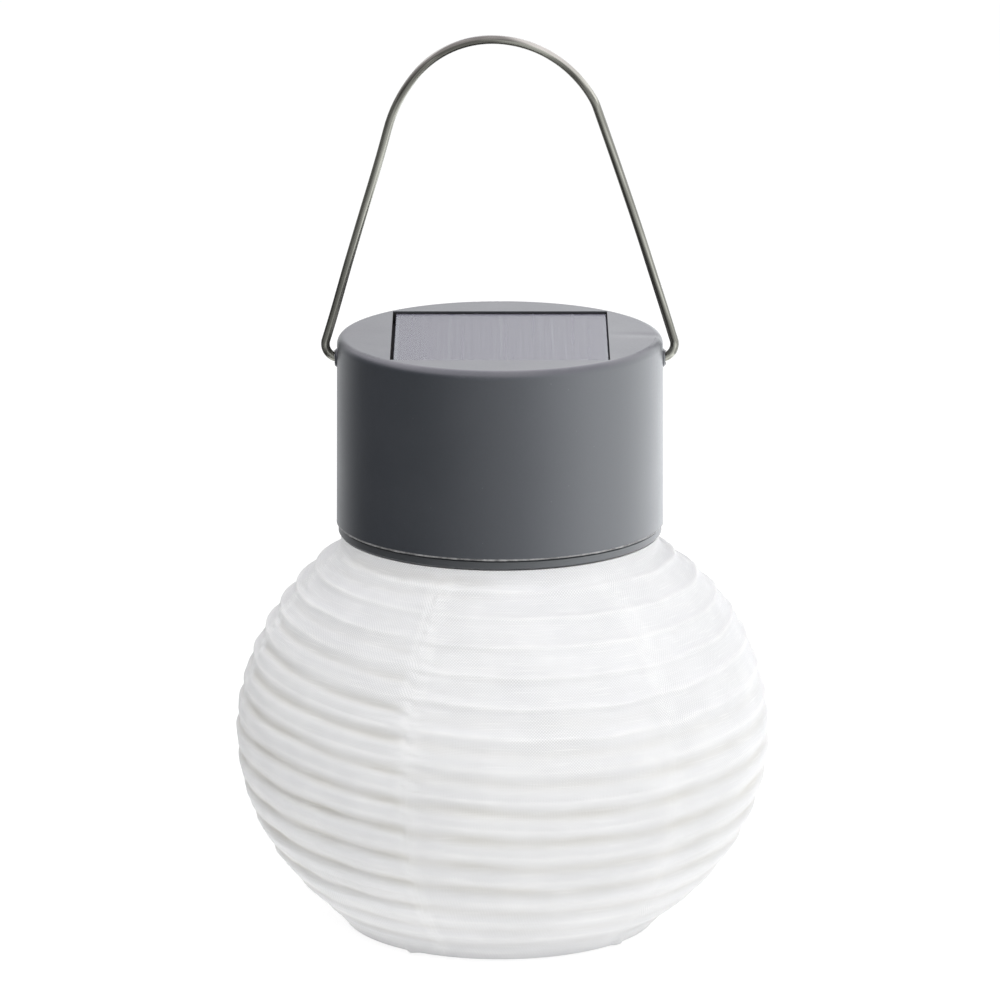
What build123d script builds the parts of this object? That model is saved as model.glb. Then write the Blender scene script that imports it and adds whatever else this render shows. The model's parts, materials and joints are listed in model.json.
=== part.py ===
from build123d import *
import os
from math import acos, asin, atan2, cos, degrees, radians, sin, sqrt

os.makedirs("parts", exist_ok=True)

# Shade, a cloth ball drawn over a spring coil
shade_radius = 75.8
shade_half_height = 66.8
shade_middle = 56.4
rib_count = 15
rib_step = 7.25
first_rib_angle = 37.9
cloth_thickness = 0.6
cloth_top = (45.3, 113.8)
cloth_foot = (44.9, 3.4)
tight_sag = 0.9
slack_fold = 1.7
slack_fold_share = 0.58

# Spring wire and the two hoops that hold the cloth open
coil_wire = 0.6
coil_inset = 3.4
coil_least_reach = 44.1
coil_turns = 15
coil_foot = 4.4
coil_bearing = 208.0
hoop_wire = 0.9
top_hoop_radius = 43.5
top_hoop_height = 112.8
bottom_hoop_radius = 42.7
hem_width = 3.4
hem_height = 3.0
hem_flat = 2.2

# Cap, a drafted cup with a square recess for the panel
cap_foot_height = 117.0
cap_height = 53.5
cap_foot_radius = 46.3
cap_head_radius = 45.93
cap_bore = 43.9
cap_roof = 2.2
cap_edge_round = 2.3
cap_foot_chamfer = 0.4
recess_side = 61.2
recess_floor = 1.8
tub_wall = 1.4
lead_hole = 3.0
lead_row = -18.0

# Panel, square, just below the top of the cap
panel_side = 60.0
panel_shift = 0.3
panel_sunk = 0.6
board_thickness = 1.6
silicon_thickness = 0.25
coat_thickness = 1.0
cell_count = 4
cell_pitch = 14.6
cell_length = 56.4
cell_gap = 0.6
gasket_thickness = 0.4
gasket_width = 3.0

# Bail, one bent wire on two eyes of the cap
bail_wire_radius = 1.25
bail_reach = 49.2
bail_rise = 91.0
bail_top_radius = 31.6
bail_top_half_angle = 60.0
bail_shoulder_radius = 14.0
bail_foot_radius = 4.0
bail_pin_tip = 40.5
bail_pin_end = 0.5
bail_sides = 10
pivot_below_top = 6.5
eye_clearance = 0.05
eye_boss_radius = 3.2
eye_boss_inner = 39.4
eye_dome_radius = 2.6
eye_dome_rise = 0.6
eye_flare = 20.0

# Bayonet between the cap and the collar
collar_flange_radius = 45.8
collar_flange = 2.6
collar_gap = 0.3
collar_bore = 40.8
collar_neck_radius = 42.4
collar_neck_rise = 4.3
collar_skirt_radius = 42.2
collar_skirt_drop = 3.5
hook_count = 6
hook_reach = 43.2
hook_thickness = 1.0
hook_width = 7.0
lug_count = 3
lug_reach = 43.6
lug_thickness = 1.7
lug_width = 18.0
ledge_reach = 42.7
ledge_thickness = 1.6
ledge_gap = 25.4
twist_angle = 30.0
stop_width = 1.6
stop_rise = 2.6
stop_offset = 14.8

# Tray that closes the cap from below
tray_radius = 43.5
tray_height = 121.6
tray_thickness = 2.0
post_circle = 37.2
post_count = 3
post_radius = 3.0
post_bore = 1.1
post_bore_depth = 12.0
screw_hole = 1.35
screw_shank = 1.05
screw_length = 11.0
screw_head = 2.4
screw_head_height = 1.5
well_length = 60.0
well_width = 15.4
well_wall = 1.5
well_rise = 15.6
well_row = 13.4

# Battery door, in the mouth of the well
door_gap = 0.3
door_thickness = 1.6
door_pin = 0.6
door_pin_length = 1.3
door_pin_clearance = 0.05
door_scoop = 4.0
door_scoop_depth = 0.7

# Cell and its contacts
cell_radius = 7.1
cell_can = 49.1
nub_radius = 2.75
nub_height = 1.4
cell_edge = 0.6
cell_height = 131.1
contact_thickness = 0.4
contact_width = 9.0
contact_play = 0.1
tab_width = 3.0
tab_rise = 3.4
contact_wire = 0.4
contact_turns = 3
contact_wide = 4.2
contact_narrow = 2.8

# Circuit board with the lamp and the switch
board_height = 128.0
circuit_width = 30.0
circuit_length = 38.0
circuit_middle = -16.0
peg_radius = 1.8
peg_pin = 0.9
peg_clearance = 0.1
led_radius = 2.5
led_flange = 2.9
led_seat = 124.6
led_tip = 118.2
led_lead_side = 0.5
led_lead_pitch = 2.54
reflector_radius = 5.6
reflector_neck = 4.1
reflector_drop = 2.4
reflector_lip = 5.0
switch_row = -30.0
switch_length = 11.0
switch_width = 5.6
switch_slot_length = 6.6
switch_slot_width = 3.0
slider_travel = 3.0
slider_length = 2.4
slider_width = 2.4
slider_drop = 1.8
slider_flange_length = 4.0
slider_play = 0.3
lead_radius = 0.6
lead_bend = 4.0

# Heights and radii that follow from the sizes above
cap_top_height = cap_foot_height + cap_height
pivot_height = cap_top_height - pivot_below_top
recess_depth = panel_sunk + coat_thickness + board_thickness + gasket_thickness
recess_floor_height = cap_top_height - recess_depth
tub_height = recess_floor_height - recess_floor
flange_top = cap_foot_height - collar_gap
flange_foot = flange_top - collar_flange
neck_top = flange_top + collar_neck_rise
ledge_top = cap_foot_height + ledge_thickness
tray_top = tray_height + tray_thickness
well_top = tray_top + well_rise
board_top = board_height + board_thickness
panel_foot = recess_floor_height + gasket_thickness
silicon_foot = panel_foot + board_thickness
peg_places = [(-11, -20), (11, -20), (-11, -4), (11, -4)]


def rib_point(angle):
    """Radius and height on the shade's outline, by angle down from its pole."""
    reach = shade_radius * sin(radians(angle))
    height = shade_middle + shade_half_height * cos(radians(angle))
    return Vector(reach, height)


def along(start, end, share, outwards):
    """A point part of the way from start to end, moved off to the outer side."""
    chord = end - start
    normal = Vector(-chord.Y, chord.X).normalized()
    return start + chord * share + normal * outwards


def draw_cloth(inset):
    """The cloth's outline from the top edge to the foot: tight above, folded below."""
    ribs = [rib_point(first_rib_angle + rib_step * turn) for turn in range(rib_count)]
    points = [Vector(*cloth_top)] + ribs + [Vector(*cloth_foot)]
    points = [point - Vector(inset, 0) for point in points]
    for upper, lower in zip(points, points[1:]):
        if upper is points[0] or lower is points[-1]:
            Line(upper, lower)
        elif (upper.Y + lower.Y) / 2 > shade_middle:
            Polyline(upper, along(upper, lower, 0.5, -tight_sag), lower)
        else:
            fold = upper + (lower - upper) * slack_fold_share - Vector(slack_fold, 0)
            Polyline(upper, fold, lower)
    return points[0], points[-1]


def draw_coil(route, turns):
    """A coil's centre line: a biarc for each half turn of the route, which takes turns from 0."""
    step = 0.5
    nudge = 1e-4
    for half in range(int(turns / step)):
        ends = []
        for turn in (half * step, (half + 1) * step):
            slope = route(turn + nudge) - route(turn - nudge)
            ends.append((route(turn), slope.normalized()))
        (start, leave), (end, arrive) = ends
        chord = end - start
        spread = 2 * (1 - leave.dot(arrive))
        drift = chord.dot(leave + arrive)
        reach = (sqrt(drift * drift + spread * chord.dot(chord)) - drift) / spread
        first = start + leave * reach
        second = end - arrive * reach
        middle = (first + second) * 0.5
        TangentArc(start, middle, tangent=leave)
        TangentArc(middle, end, tangent=second - first)


def least_gap(route, turns, wire):
    """The least clear space between one turn of a coil and the next, on points."""
    steps = 24
    points = [route(place / steps) for place in range(int(turns * steps) + 1)]
    nearest = min(
        (points[place] - points[other]).length
        for place in range(len(points))
        for other in range(place + steps // 2, min(place + 2 * steps, len(points)))
    )
    return nearest - 2 * wire


# Cap shell: cup, recess, eyes, screw posts and bayonet ledges
with BuildPart() as cap_shell:
    with BuildSketch(Plane.XZ):
        with BuildLine():
            Polyline(
                (0, cap_top_height),
                (cap_head_radius, cap_top_height),
                (cap_foot_radius, cap_foot_height),
                (cap_bore, cap_foot_height),
                (cap_bore, cap_top_height - cap_roof),
                (0, cap_top_height - cap_roof),
                close=True,
            )
        make_face()
    revolve(axis=Axis.Z)
    outer_edges = cap_shell.edges().filter_by(GeomType.CIRCLE).sort_by(SortBy.RADIUS)
    fillet(cap_shell.edges().group_by(Axis.Z)[-1], cap_edge_round)
    chamfer(outer_edges[-1], cap_foot_chamfer)
    tub_side = recess_side + 2 * tub_wall
    with BuildSketch(Plane.XY.offset(tub_height)):
        Rectangle(tub_side, tub_side)
    extrude(amount=cap_top_height - cap_roof - tub_height)
    with BuildSketch(Plane.XY.offset(tray_top)):
        with PolarLocations(post_circle, post_count, start_angle=90):
            Circle(post_radius)
    extrude(amount=cap_top_height - cap_roof - tray_top)
    with BuildSketch(Plane.XY.offset(tray_top)):
        with PolarLocations(post_circle, post_count, start_angle=90):
            Circle(post_bore)
    extrude(amount=post_bore_depth, mode=Mode.SUBTRACT)
    with BuildSketch(Plane.XY.offset(recess_floor_height)):
        Rectangle(recess_side, recess_side)
    extrude(amount=recess_depth, mode=Mode.SUBTRACT)
    with BuildSketch(Plane.XY.offset(tub_height)):
        with Locations((0, lead_row)):
            SlotOverall(4 * lead_hole, 2 * lead_hole)
    extrude(amount=recess_floor, mode=Mode.SUBTRACT)
    for side in (-1, 1):
        eye = Plane(origin=(side * eye_boss_inner, 0, pivot_height), x_dir=(0, 1, 0), z_dir=(side, 0, 0))
        with BuildSketch(eye):
            Circle(eye_boss_radius)
        extrude(amount=cap_bore + 1 - eye_boss_inner)
        dome_face = cap_head_radius + eye_dome_rise
        with BuildSketch(eye.offset(cap_bore + 1 - eye_boss_inner)):
            Circle(eye_dome_radius)
        extrude(amount=dome_face - cap_bore - 1)
        rim = cap_shell.edges().filter_by(GeomType.CIRCLE).sort_by(Axis.X)
        chamfer(rim[-1] if side > 0 else rim[0], eye_dome_rise * 0.7)
        with BuildSketch(eye):
            Circle(bail_wire_radius + eye_clearance)
        extrude(amount=dome_face - eye_boss_inner, mode=Mode.SUBTRACT)
        flare_start = bail_reach - bail_foot_radius
        with BuildSketch(eye.offset(flare_start - eye_boss_inner)):
            Circle(bail_wire_radius + eye_clearance)
        extrude(amount=dome_face + 0.4 - flare_start, taper=-eye_flare, mode=Mode.SUBTRACT)
    with BuildSketch(Plane.XY.offset(cap_foot_height)):
        Circle(cap_bore + 0.5)
        Circle(ledge_reach, mode=Mode.SUBTRACT)
        with PolarLocations(cap_bore, lug_count):
            Rectangle(2 * lug_thickness, ledge_gap, mode=Mode.SUBTRACT)
    extrude(amount=ledge_thickness)
    with BuildSketch(Plane.XY.offset(ledge_top)):
        for bearing in (-twist_angle - stop_offset, stop_offset):
            with PolarLocations(cap_bore - 0.4, lug_count, start_angle=bearing):
                Rectangle(1.6, stop_width)
    extrude(amount=stop_rise)
cap_shell.part.label = "cap_shell"
export_step(cap_shell.part, "parts/cap_shell.step")

# Panel: board, silicon strips let into the clear coat, and the bedding tape
panel_centre = (panel_shift, 0)
with BuildPart() as solar_board:
    with BuildSketch(Plane.XY.offset(panel_foot)):
        with Locations(panel_centre):
            Rectangle(panel_side, panel_side)
    extrude(amount=board_thickness)
solar_board.part.label = "solar_board"
export_step(solar_board.part, "parts/solar_board.step")

with BuildPart() as solar_cells:
    with BuildSketch(Plane.XY.offset(silicon_foot)):
        with Locations(panel_centre):
            with GridLocations(cell_pitch, 0, cell_count, 1):
                Rectangle(cell_pitch - cell_gap, cell_length)
    extrude(amount=silicon_thickness)
solar_cells.part.label = "solar_cells"
export_step(solar_cells.part, "parts/solar_cells.step")

with BuildPart() as solar_cover:
    with BuildSketch(Plane.XY.offset(silicon_foot)):
        with Locations(panel_centre):
            Rectangle(panel_side, panel_side)
    extrude(amount=coat_thickness)
    fillet(solar_cover.edges().group_by(Axis.Z)[-1], 0.3)
    with BuildSketch(Plane.XY.offset(silicon_foot)):
        with Locations(panel_centre):
            with GridLocations(cell_pitch, 0, cell_count, 1):
                Rectangle(cell_pitch - cell_gap, cell_length)
    extrude(amount=silicon_thickness, mode=Mode.SUBTRACT)
solar_cover.part.label = "solar_cover"
export_step(solar_cover.part, "parts/solar_cover.step")

with BuildPart() as panel_gasket:
    with BuildSketch(Plane.XY.offset(recess_floor_height)):
        with Locations(panel_centre):
            Rectangle(panel_side, panel_side)
            Rectangle(panel_side - 2 * gasket_width, panel_side - 2 * gasket_width, mode=Mode.SUBTRACT)
    extrude(amount=gasket_thickness)
panel_gasket.part.label = "panel_gasket"
export_step(panel_gasket.part, "parts/panel_gasket.step")

# Bail: pin, foot bend, straight leg, shoulder and top, then the same mirrored
top_centre = bail_rise - bail_top_radius
shoulder_gap = bail_top_radius - bail_shoulder_radius
shoulder_x = shoulder_gap * sin(radians(bail_top_half_angle))
shoulder_z = top_centre + shoulder_gap * cos(radians(bail_top_half_angle))
foot_x = bail_reach - bail_foot_radius
foot_z = bail_foot_radius
leg_x = foot_x - shoulder_x
leg_z = shoulder_z - foot_z
leg_span = sqrt(leg_x**2 + leg_z**2)
bail_lean = degrees(atan2(leg_x, leg_z) - asin((bail_shoulder_radius - bail_foot_radius) / leg_span))
bail_plane = Plane(origin=(0, 0, pivot_height), x_dir=(1, 0, 0), z_dir=(0, -1, 0))
with BuildPart() as bail_wire:
    with BuildLine(bail_plane) as bail_line:
        top_sweep = bail_top_half_angle
        shoulder_sweep = 90 - bail_top_half_angle - bail_lean
        CenterArc((0, top_centre), bail_top_radius, 90 - top_sweep, top_sweep)
        shoulder = CenterArc((shoulder_x, shoulder_z), bail_shoulder_radius, bail_lean, shoulder_sweep)
        foot = CenterArc((foot_x, foot_z), bail_foot_radius, -90, 90 + bail_lean)
        Line(foot @ 1, shoulder @ 0)
        Line((bail_pin_tip + bail_pin_end, 0), foot @ 0)
        mirror(about=Plane.YZ)
    with BuildSketch(Plane(origin=(bail_pin_tip + bail_pin_end, 0, pivot_height), z_dir=(1, 0, 0))):
        RegularPolygon(bail_wire_radius, bail_sides)
    sweep(path=bail_line.wires()[0])
    for side in (-1, 1):
        tip = Plane(origin=(side * bail_pin_tip, 0, pivot_height), x_dir=(0, 1, 0), z_dir=(side, 0, 0))
        with BuildSketch(tip):
            Circle(bail_wire_radius)
        extrude(amount=foot_x - bail_pin_tip)
bail_wire.part.label = "bail_wire"
export_step(bail_wire.part, "parts/bail_wire.step")

# Tray: plate, well for the cell, door mouth, lamp hole, switch slot and pegs
well_length_out = well_length + 2 * well_wall
well_width_out = well_width + 2 * well_wall
hinge_row = well_row + well_width / 2 - door_gap - door_thickness / 2
hinge_height = tray_height + door_thickness / 2
contact_x = well_length / 2 - contact_play - contact_thickness
with BuildPart() as battery_tray:
    with BuildSketch(Plane.XY.offset(tray_height)):
        Circle(tray_radius)
    extrude(amount=tray_thickness)
    with BuildSketch(Plane.XY.offset(tray_top)):
        with Locations((0, well_row)):
            Rectangle(well_length_out, well_width_out)
    extrude(amount=well_rise + well_wall)
    chamfer(battery_tray.edges().group_by(Axis.Z)[-1], 0.8)
    with BuildSketch(Plane.XY.offset(tray_height)):
        with Locations((0, well_row)):
            Rectangle(well_length, well_width)
    extrude(amount=well_top - tray_height, mode=Mode.SUBTRACT)
    with BuildSketch(Plane.XY.offset(well_top)):
        for side in (-1, 1):
            with Locations((side * (contact_x + contact_thickness / 2), well_row)):
                Rectangle(contact_thickness + 0.2, tab_width + 0.4)
    extrude(amount=well_wall, mode=Mode.SUBTRACT)
    with BuildSketch(Plane.YZ):
        with Locations((hinge_row, hinge_height)):
            Circle(door_pin + door_pin_clearance)
    extrude(amount=well_length / 2 + door_pin_length + 0.1, both=True, mode=Mode.SUBTRACT)
    with BuildSketch(Plane.XY.offset(tray_height)):
        Circle(reflector_neck + 0.1)
        with Locations((0, switch_row)):
            Rectangle(switch_slot_length, switch_slot_width)
        with PolarLocations(post_circle, post_count, start_angle=90):
            Circle(screw_hole)
    extrude(amount=tray_thickness, mode=Mode.SUBTRACT)
    with BuildSketch(Plane.XY.offset(tray_top)):
        with Locations(*peg_places):
            RegularPolygon(peg_radius, 6)
    extrude(amount=board_height - tray_top)
    with BuildSketch(Plane.XY.offset(board_height)):
        with Locations(*peg_places):
            RegularPolygon(peg_pin, 6)
    extrude(amount=board_thickness + 0.6)
battery_tray.part.label = "battery_tray"
export_step(battery_tray.part, "parts/battery_tray.step")

with BuildPart() as tray_screws:
    with BuildSketch(Plane.XY.offset(tray_height - screw_head_height)):
        with PolarLocations(post_circle, post_count, start_angle=90):
            Circle(screw_head)
    extrude(amount=screw_head_height)
    chamfer(tray_screws.edges().group_by(Axis.Z)[0], 0.5)
    with BuildSketch(Plane.XY.offset(tray_height)):
        with PolarLocations(post_circle, post_count, start_angle=90):
            RegularPolygon(screw_shank, 6)
    extrude(amount=screw_length)
tray_screws.part.label = "tray_screws"
export_step(tray_screws.part, "parts/tray_screws.step")

# Battery door: a flat leaf with a rounded hinge edge on two stub pins
door_length = well_length - 2 * door_gap
door_free_edge = well_row - well_width / 2 + door_gap
with BuildPart() as battery_door:
    with BuildSketch(Plane.YZ.offset(-door_length / 2)):
        with BuildLine():
            Line((hinge_row, tray_height), (door_free_edge, tray_height))
            Line((door_free_edge, tray_height), (door_free_edge, tray_height + door_thickness))
            Line((door_free_edge, tray_height + door_thickness), (hinge_row, tray_height + door_thickness))
            ThreePointArc(
                (hinge_row, tray_height + door_thickness),
                (hinge_row + door_thickness / 2, hinge_height),
                (hinge_row, tray_height),
            )
        make_face()
    extrude(amount=door_length)
    with BuildSketch(Plane.YZ):
        with Locations((hinge_row, hinge_height)):
            Circle(door_pin)
    extrude(amount=door_length / 2 + door_pin_length, both=True)
    with BuildSketch(Plane.XY.offset(tray_height)):
        with Locations((0, door_free_edge)):
            Circle(door_scoop)
    extrude(amount=door_scoop_depth, mode=Mode.SUBTRACT)
battery_door.part.label = "battery_door"
export_step(battery_door.part, "parts/battery_door.step")

# Cell: a can with its button, lying along the well with the button to the right
cell_end = contact_x - contact_play / 2
with BuildPart() as battery_cell:
    with BuildSketch(Plane(origin=(0, well_row, cell_height), x_dir=(1, 0, 0), z_dir=(0, -1, 0))):
        with BuildLine():
            Polyline(
                (cell_end, 0),
                (cell_end, nub_radius),
                (cell_end - nub_height, nub_radius),
                (cell_end - nub_height, cell_radius),
                (cell_end - nub_height - cell_can, cell_radius),
                (cell_end - nub_height - cell_can, 0),
                close=True,
            )
        make_face()
    revolve(axis=Axis((0, well_row, cell_height), (1, 0, 0)))
    can_rims = battery_cell.edges().filter_by(GeomType.CIRCLE).group_by(SortBy.RADIUS)[-1]
    chamfer(can_rims, cell_edge)
battery_cell.part.label = "battery_cell"
export_step(battery_cell.part, "parts/battery_cell.step")

with BuildPart() as contact_plates:
    for side in (-1, 1):
        with BuildSketch(Plane.YZ.offset(side * (contact_x + contact_thickness / 2))):
            with Locations((well_row, cell_height)):
                Rectangle(contact_width, well_top - tray_top - 1.2)
            with Locations((well_row, well_top + tab_rise / 2 - 1)):
                Rectangle(tab_width, tab_rise + 2)
        extrude(amount=contact_thickness / 2, both=True)
contact_plates.part.label = "contact_plates"
export_step(contact_plates.part, "parts/contact_plates.step")

# Contact spring: a short cone of wire from the left contact to the cell's flat end
spring_start = -contact_x + contact_wire + 0.02
spring_end = cell_end - nub_height - cell_can - contact_wire - 0.02


def contact_route(turn):
    share = turn / contact_turns
    reach = contact_wide + (contact_narrow - contact_wide) * share
    bearing = radians(360 * turn)
    return Vector(
        spring_start + (spring_end - spring_start) * share,
        well_row + reach * cos(bearing),
        cell_height + reach * sin(bearing),
    )


with BuildPart() as contact_spring:
    with BuildLine() as contact_line:
        draw_coil(contact_route, contact_turns)
    with BuildSketch(Plane(origin=contact_line.line @ 0, z_dir=contact_line.line % 0)):
        RegularPolygon(contact_wire, 4)
    sweep(path=contact_line.wires()[0])
contact_spring.part.label = "contact_spring"
export_step(contact_spring.part, "parts/contact_spring.step")
print("contact spring least gap", round(least_gap(contact_route, contact_turns, contact_wire), 2))

# Circuit board with its parts, lamp and switch
with BuildPart() as circuit_board:
    with BuildSketch(Plane.XY.offset(board_height)):
        with Locations((0, circuit_middle)):
            RectangleRounded(circuit_width, circuit_length, 1.5)
        with Locations(*peg_places):
            RegularPolygon(peg_pin + peg_clearance, 6, mode=Mode.SUBTRACT)
        with GridLocations(led_lead_pitch, 0, 2, 1):
            Rectangle(led_lead_side + 0.2, led_lead_side + 0.2, mode=Mode.SUBTRACT)
    extrude(amount=board_thickness)
circuit_board.part.label = "circuit_board"
export_step(circuit_board.part, "parts/circuit_board.step")

with BuildPart() as board_parts:
    with BuildSketch(Plane.XY.offset(board_top)):
        with Locations((2, -13)):
            Rectangle(5, 4)
    extrude(amount=1.5)
    with BuildSketch(Plane.XY.offset(board_top)):
        with Locations((-6, -12)):
            Circle(2.6)
    extrude(amount=4.2)
    with BuildSketch(Plane.XY.offset(board_top)):
        with Locations((6, -25)):
            Circle(2.5)
    extrude(amount=7)
    with BuildSketch(Plane.XY.offset(board_top)):
        with Locations((-3, -25)):
            with GridLocations(0, 4, 1, 2):
                Rectangle(3.2, 1.6)
    extrude(amount=0.7)
board_parts.part.label = "board_parts"
export_step(board_parts.part, "parts/board_parts.step")

with BuildPart() as led:
    with BuildSketch(Plane.XZ):
        with BuildLine():
            Polyline(
                (0, led_tip),
                (0, led_seat + 1),
                (led_flange, led_seat + 1),
                (led_flange, led_seat),
                (led_radius, led_seat),
                (led_radius, led_tip + led_radius),
            )
            ThreePointArc(
                (led_radius, led_tip + led_radius),
                (led_radius * cos(radians(45)), led_tip + led_radius * (1 - sin(radians(45)))),
                (0, led_tip),
            )
        make_face()
    revolve(axis=Axis.Z)
led.part.label = "led"
export_step(led.part, "parts/led.step")

with BuildPart() as led_leads:
    with BuildSketch(Plane.XY.offset(led_seat + 1)):
        with GridLocations(led_lead_pitch, 0, 2, 1):
            Rectangle(led_lead_side, led_lead_side)
    extrude(amount=board_top + 0.8 - led_seat - 1)
led_leads.part.label = "led_leads"
export_step(led_leads.part, "parts/led_leads.step")

with BuildPart() as led_reflector:
    with BuildSketch(Plane.XZ):
        with BuildLine():
            Polyline(
                (led_radius + 0.1, led_seat),
                (reflector_neck, led_seat),
                (reflector_neck, tray_height),
                (reflector_radius, tray_height),
                (reflector_radius, tray_height - reflector_drop),
                (reflector_lip, tray_height - reflector_drop),
                (led_radius + 0.1, tray_height + 0.6),
                close=True,
            )
        make_face()
    revolve(axis=Axis.Z)
led_reflector.part.label = "led_reflector"
export_step(led_reflector.part, "parts/led_reflector.step")

slider_room = 2.0
with BuildPart() as switch_body:
    with BuildSketch(Plane.XY.offset(tray_top)):
        with Locations((0, switch_row)):
            Rectangle(switch_length, switch_width)
    extrude(amount=board_height - tray_top)
    with BuildSketch(Plane.XY.offset(tray_top)):
        with Locations((0, switch_row)):
            room_length = slider_flange_length + slider_travel + 2 * slider_play
            Rectangle(room_length, slider_width + 2 * slider_play)
    extrude(amount=slider_room, mode=Mode.SUBTRACT)
switch_body.part.label = "switch_body"
export_step(switch_body.part, "parts/switch_body.step")

with BuildPart() as switch_slider:
    with BuildSketch(Plane.XY.offset(tray_top + slider_play)):
        with Locations((-slider_travel / 2, switch_row)):
            Rectangle(slider_flange_length, slider_width)
    extrude(amount=slider_room - 2 * slider_play)
    with BuildSketch(Plane.XY.offset(tray_height - slider_drop)):
        with Locations((-slider_travel / 2, switch_row)):
            Rectangle(slider_length, slider_width)
    extrude(amount=tray_thickness + slider_drop + slider_play)
    chamfer(switch_slider.edges().group_by(Axis.Z)[0], 0.4)
switch_slider.part.label = "switch_slider"
export_step(switch_slider.part, "parts/switch_slider.step")

# Leads from the panel and the cell's contacts down to the board
tab_top = well_top + tab_rise
tab_x = contact_x + contact_thickness / 2
red_routes = [
    [(3, lead_row, panel_foot), (3, lead_row, 156), (11, -14, 143), (11, -14, board_top)],
    [(tab_x, well_row, tab_top), (tab_x, well_row, 150), (12, -9, 146), (12, -9, board_top)],
]
black_routes = [
    [(-3, lead_row, panel_foot), (-3, lead_row, 154), (-11, -14, 141), (-11, -14, board_top)],
    [(-tab_x, well_row, tab_top), (-tab_x, well_row, 150), (-12, -9, 146), (-12, -9, board_top)],
]
for lead_name, routes in (("leads_red", red_routes), ("leads_black", black_routes)):
    with BuildPart() as leads:
        for route in routes:
            with BuildLine() as lead_line:
                FilletPolyline(*route, radius=lead_bend)
            with BuildSketch(Plane(origin=route[0], z_dir=lead_line.line % 0)):
                RegularPolygon(lead_radius, 4)
            sweep(path=lead_line.wires()[0])
    leads.part.label = lead_name
    export_step(leads.part, f"parts/{lead_name}.step")

# Collar ring: flange, neck with bayonet lugs, skirt with hooks for the top hoop
skirt_foot = flange_foot - collar_skirt_drop
with BuildPart() as collar_ring:
    with BuildSketch(Plane.XZ):
        with BuildLine():
            Polyline(
                (collar_bore, neck_top),
                (collar_neck_radius, neck_top),
                (collar_neck_radius, flange_top),
                (collar_flange_radius, flange_top),
                (collar_flange_radius, flange_foot),
                (collar_skirt_radius, flange_foot),
                (collar_skirt_radius, skirt_foot),
                (collar_bore, skirt_foot),
                close=True,
            )
        make_face()
    revolve(axis=Axis.Z)
    flange_rims = collar_ring.edges().filter_by(GeomType.CIRCLE).group_by(SortBy.RADIUS)[-1]
    chamfer(flange_rims, 0.4)
    with BuildSketch(Plane.XY.offset(ledge_top + collar_gap)):
        with PolarLocations(collar_neck_radius, lug_count, start_angle=-twist_angle):
            Rectangle(4, lug_width)
        Circle(lug_reach, mode=Mode.INTERSECT)
        Circle(collar_bore + 0.4, mode=Mode.SUBTRACT)
    extrude(amount=lug_thickness)
    with BuildSketch(Plane.XY.offset(skirt_foot)):
        with PolarLocations(collar_skirt_radius, hook_count, start_angle=20):
            Rectangle(4, hook_width)
        Circle(hook_reach, mode=Mode.INTERSECT)
        Circle(collar_bore + 0.4, mode=Mode.SUBTRACT)
    extrude(amount=hook_thickness)
collar_ring.part.label = "collar_ring"
export_step(collar_ring.part, "parts/collar_ring.step")

with BuildPart() as top_hoop:
    with BuildSketch(Plane.XZ):
        with Locations((top_hoop_radius, top_hoop_height)):
            RegularPolygon(hoop_wire, 6)
    revolve(axis=Axis.Z)
top_hoop.part.label = "top_hoop"
export_step(top_hoop.part, "parts/top_hoop.step")

# Spring coil: one wire from the top hoop down to the hem, inside the cloth
coil_top = top_hoop_height - hoop_wire - coil_wire
coil_half_height = shade_half_height - coil_inset
coil_start_angle = degrees(acos((coil_top - shade_middle) / coil_half_height))
coil_end_angle = degrees(acos((coil_foot - shade_middle) / coil_half_height))


def coil_route(turn):
    angle = coil_start_angle + (coil_end_angle - coil_start_angle) * turn / coil_turns
    reach = max((shade_radius - coil_inset) * sin(radians(angle)), coil_least_reach)
    height = shade_middle + coil_half_height * cos(radians(angle))
    bearing = radians(coil_bearing + 360 * turn)
    return Vector(reach * cos(bearing), reach * sin(bearing), height)


with BuildPart() as shade_spiral:
    with BuildLine() as coil_line:
        draw_coil(coil_route, coil_turns)
    with BuildSketch(Plane(origin=coil_line.line @ 0, z_dir=coil_line.line % 0)):
        RegularPolygon(coil_wire, 4)
    sweep(path=coil_line.wires()[0])
shade_spiral.part.label = "shade_spiral"
export_step(shade_spiral.part, "parts/shade_spiral.step")
print("shade coil least gap", round(least_gap(coil_route, coil_turns, coil_wire), 2))

# Cloth: tight between the upper ribs, folded in between the lower ones
with BuildPart() as shade_fabric:
    with BuildSketch(Plane.XZ):
        with BuildLine():
            outer_top, outer_foot = draw_cloth(0)
            inner_top, inner_foot = draw_cloth(cloth_thickness)
            Line(outer_top, inner_top)
            Line(outer_foot, inner_foot)
        make_face()
    revolve(axis=Axis.Z)
shade_fabric.part.label = "shade_fabric"
export_step(shade_fabric.part, "parts/shade_fabric.step")

# Base: the hem, a flat-footed sleeve, and the hoop inside it
with BuildPart() as bottom_hem:
    with BuildSketch(Plane.XZ) as hem_section:
        with Locations((bottom_hoop_radius, hem_height / 2)):
            Rectangle(hem_width, hem_height)
            chamfer(hem_section.vertices(), (hem_width - hem_flat) / 2)
            RegularPolygon(hoop_wire, 6, mode=Mode.SUBTRACT)
    revolve(axis=Axis.Z)
bottom_hem.part.label = "bottom_hem"
export_step(bottom_hem.part, "parts/bottom_hem.step")

with BuildPart() as bottom_hoop:
    with BuildSketch(Plane.XZ):
        with Locations((bottom_hoop_radius, hem_height / 2)):
            RegularPolygon(hoop_wire, 6)
    revolve(axis=Axis.Z)
bottom_hoop.part.label = "bottom_hoop"
export_step(bottom_hoop.part, "parts/bottom_hoop.step")
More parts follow.
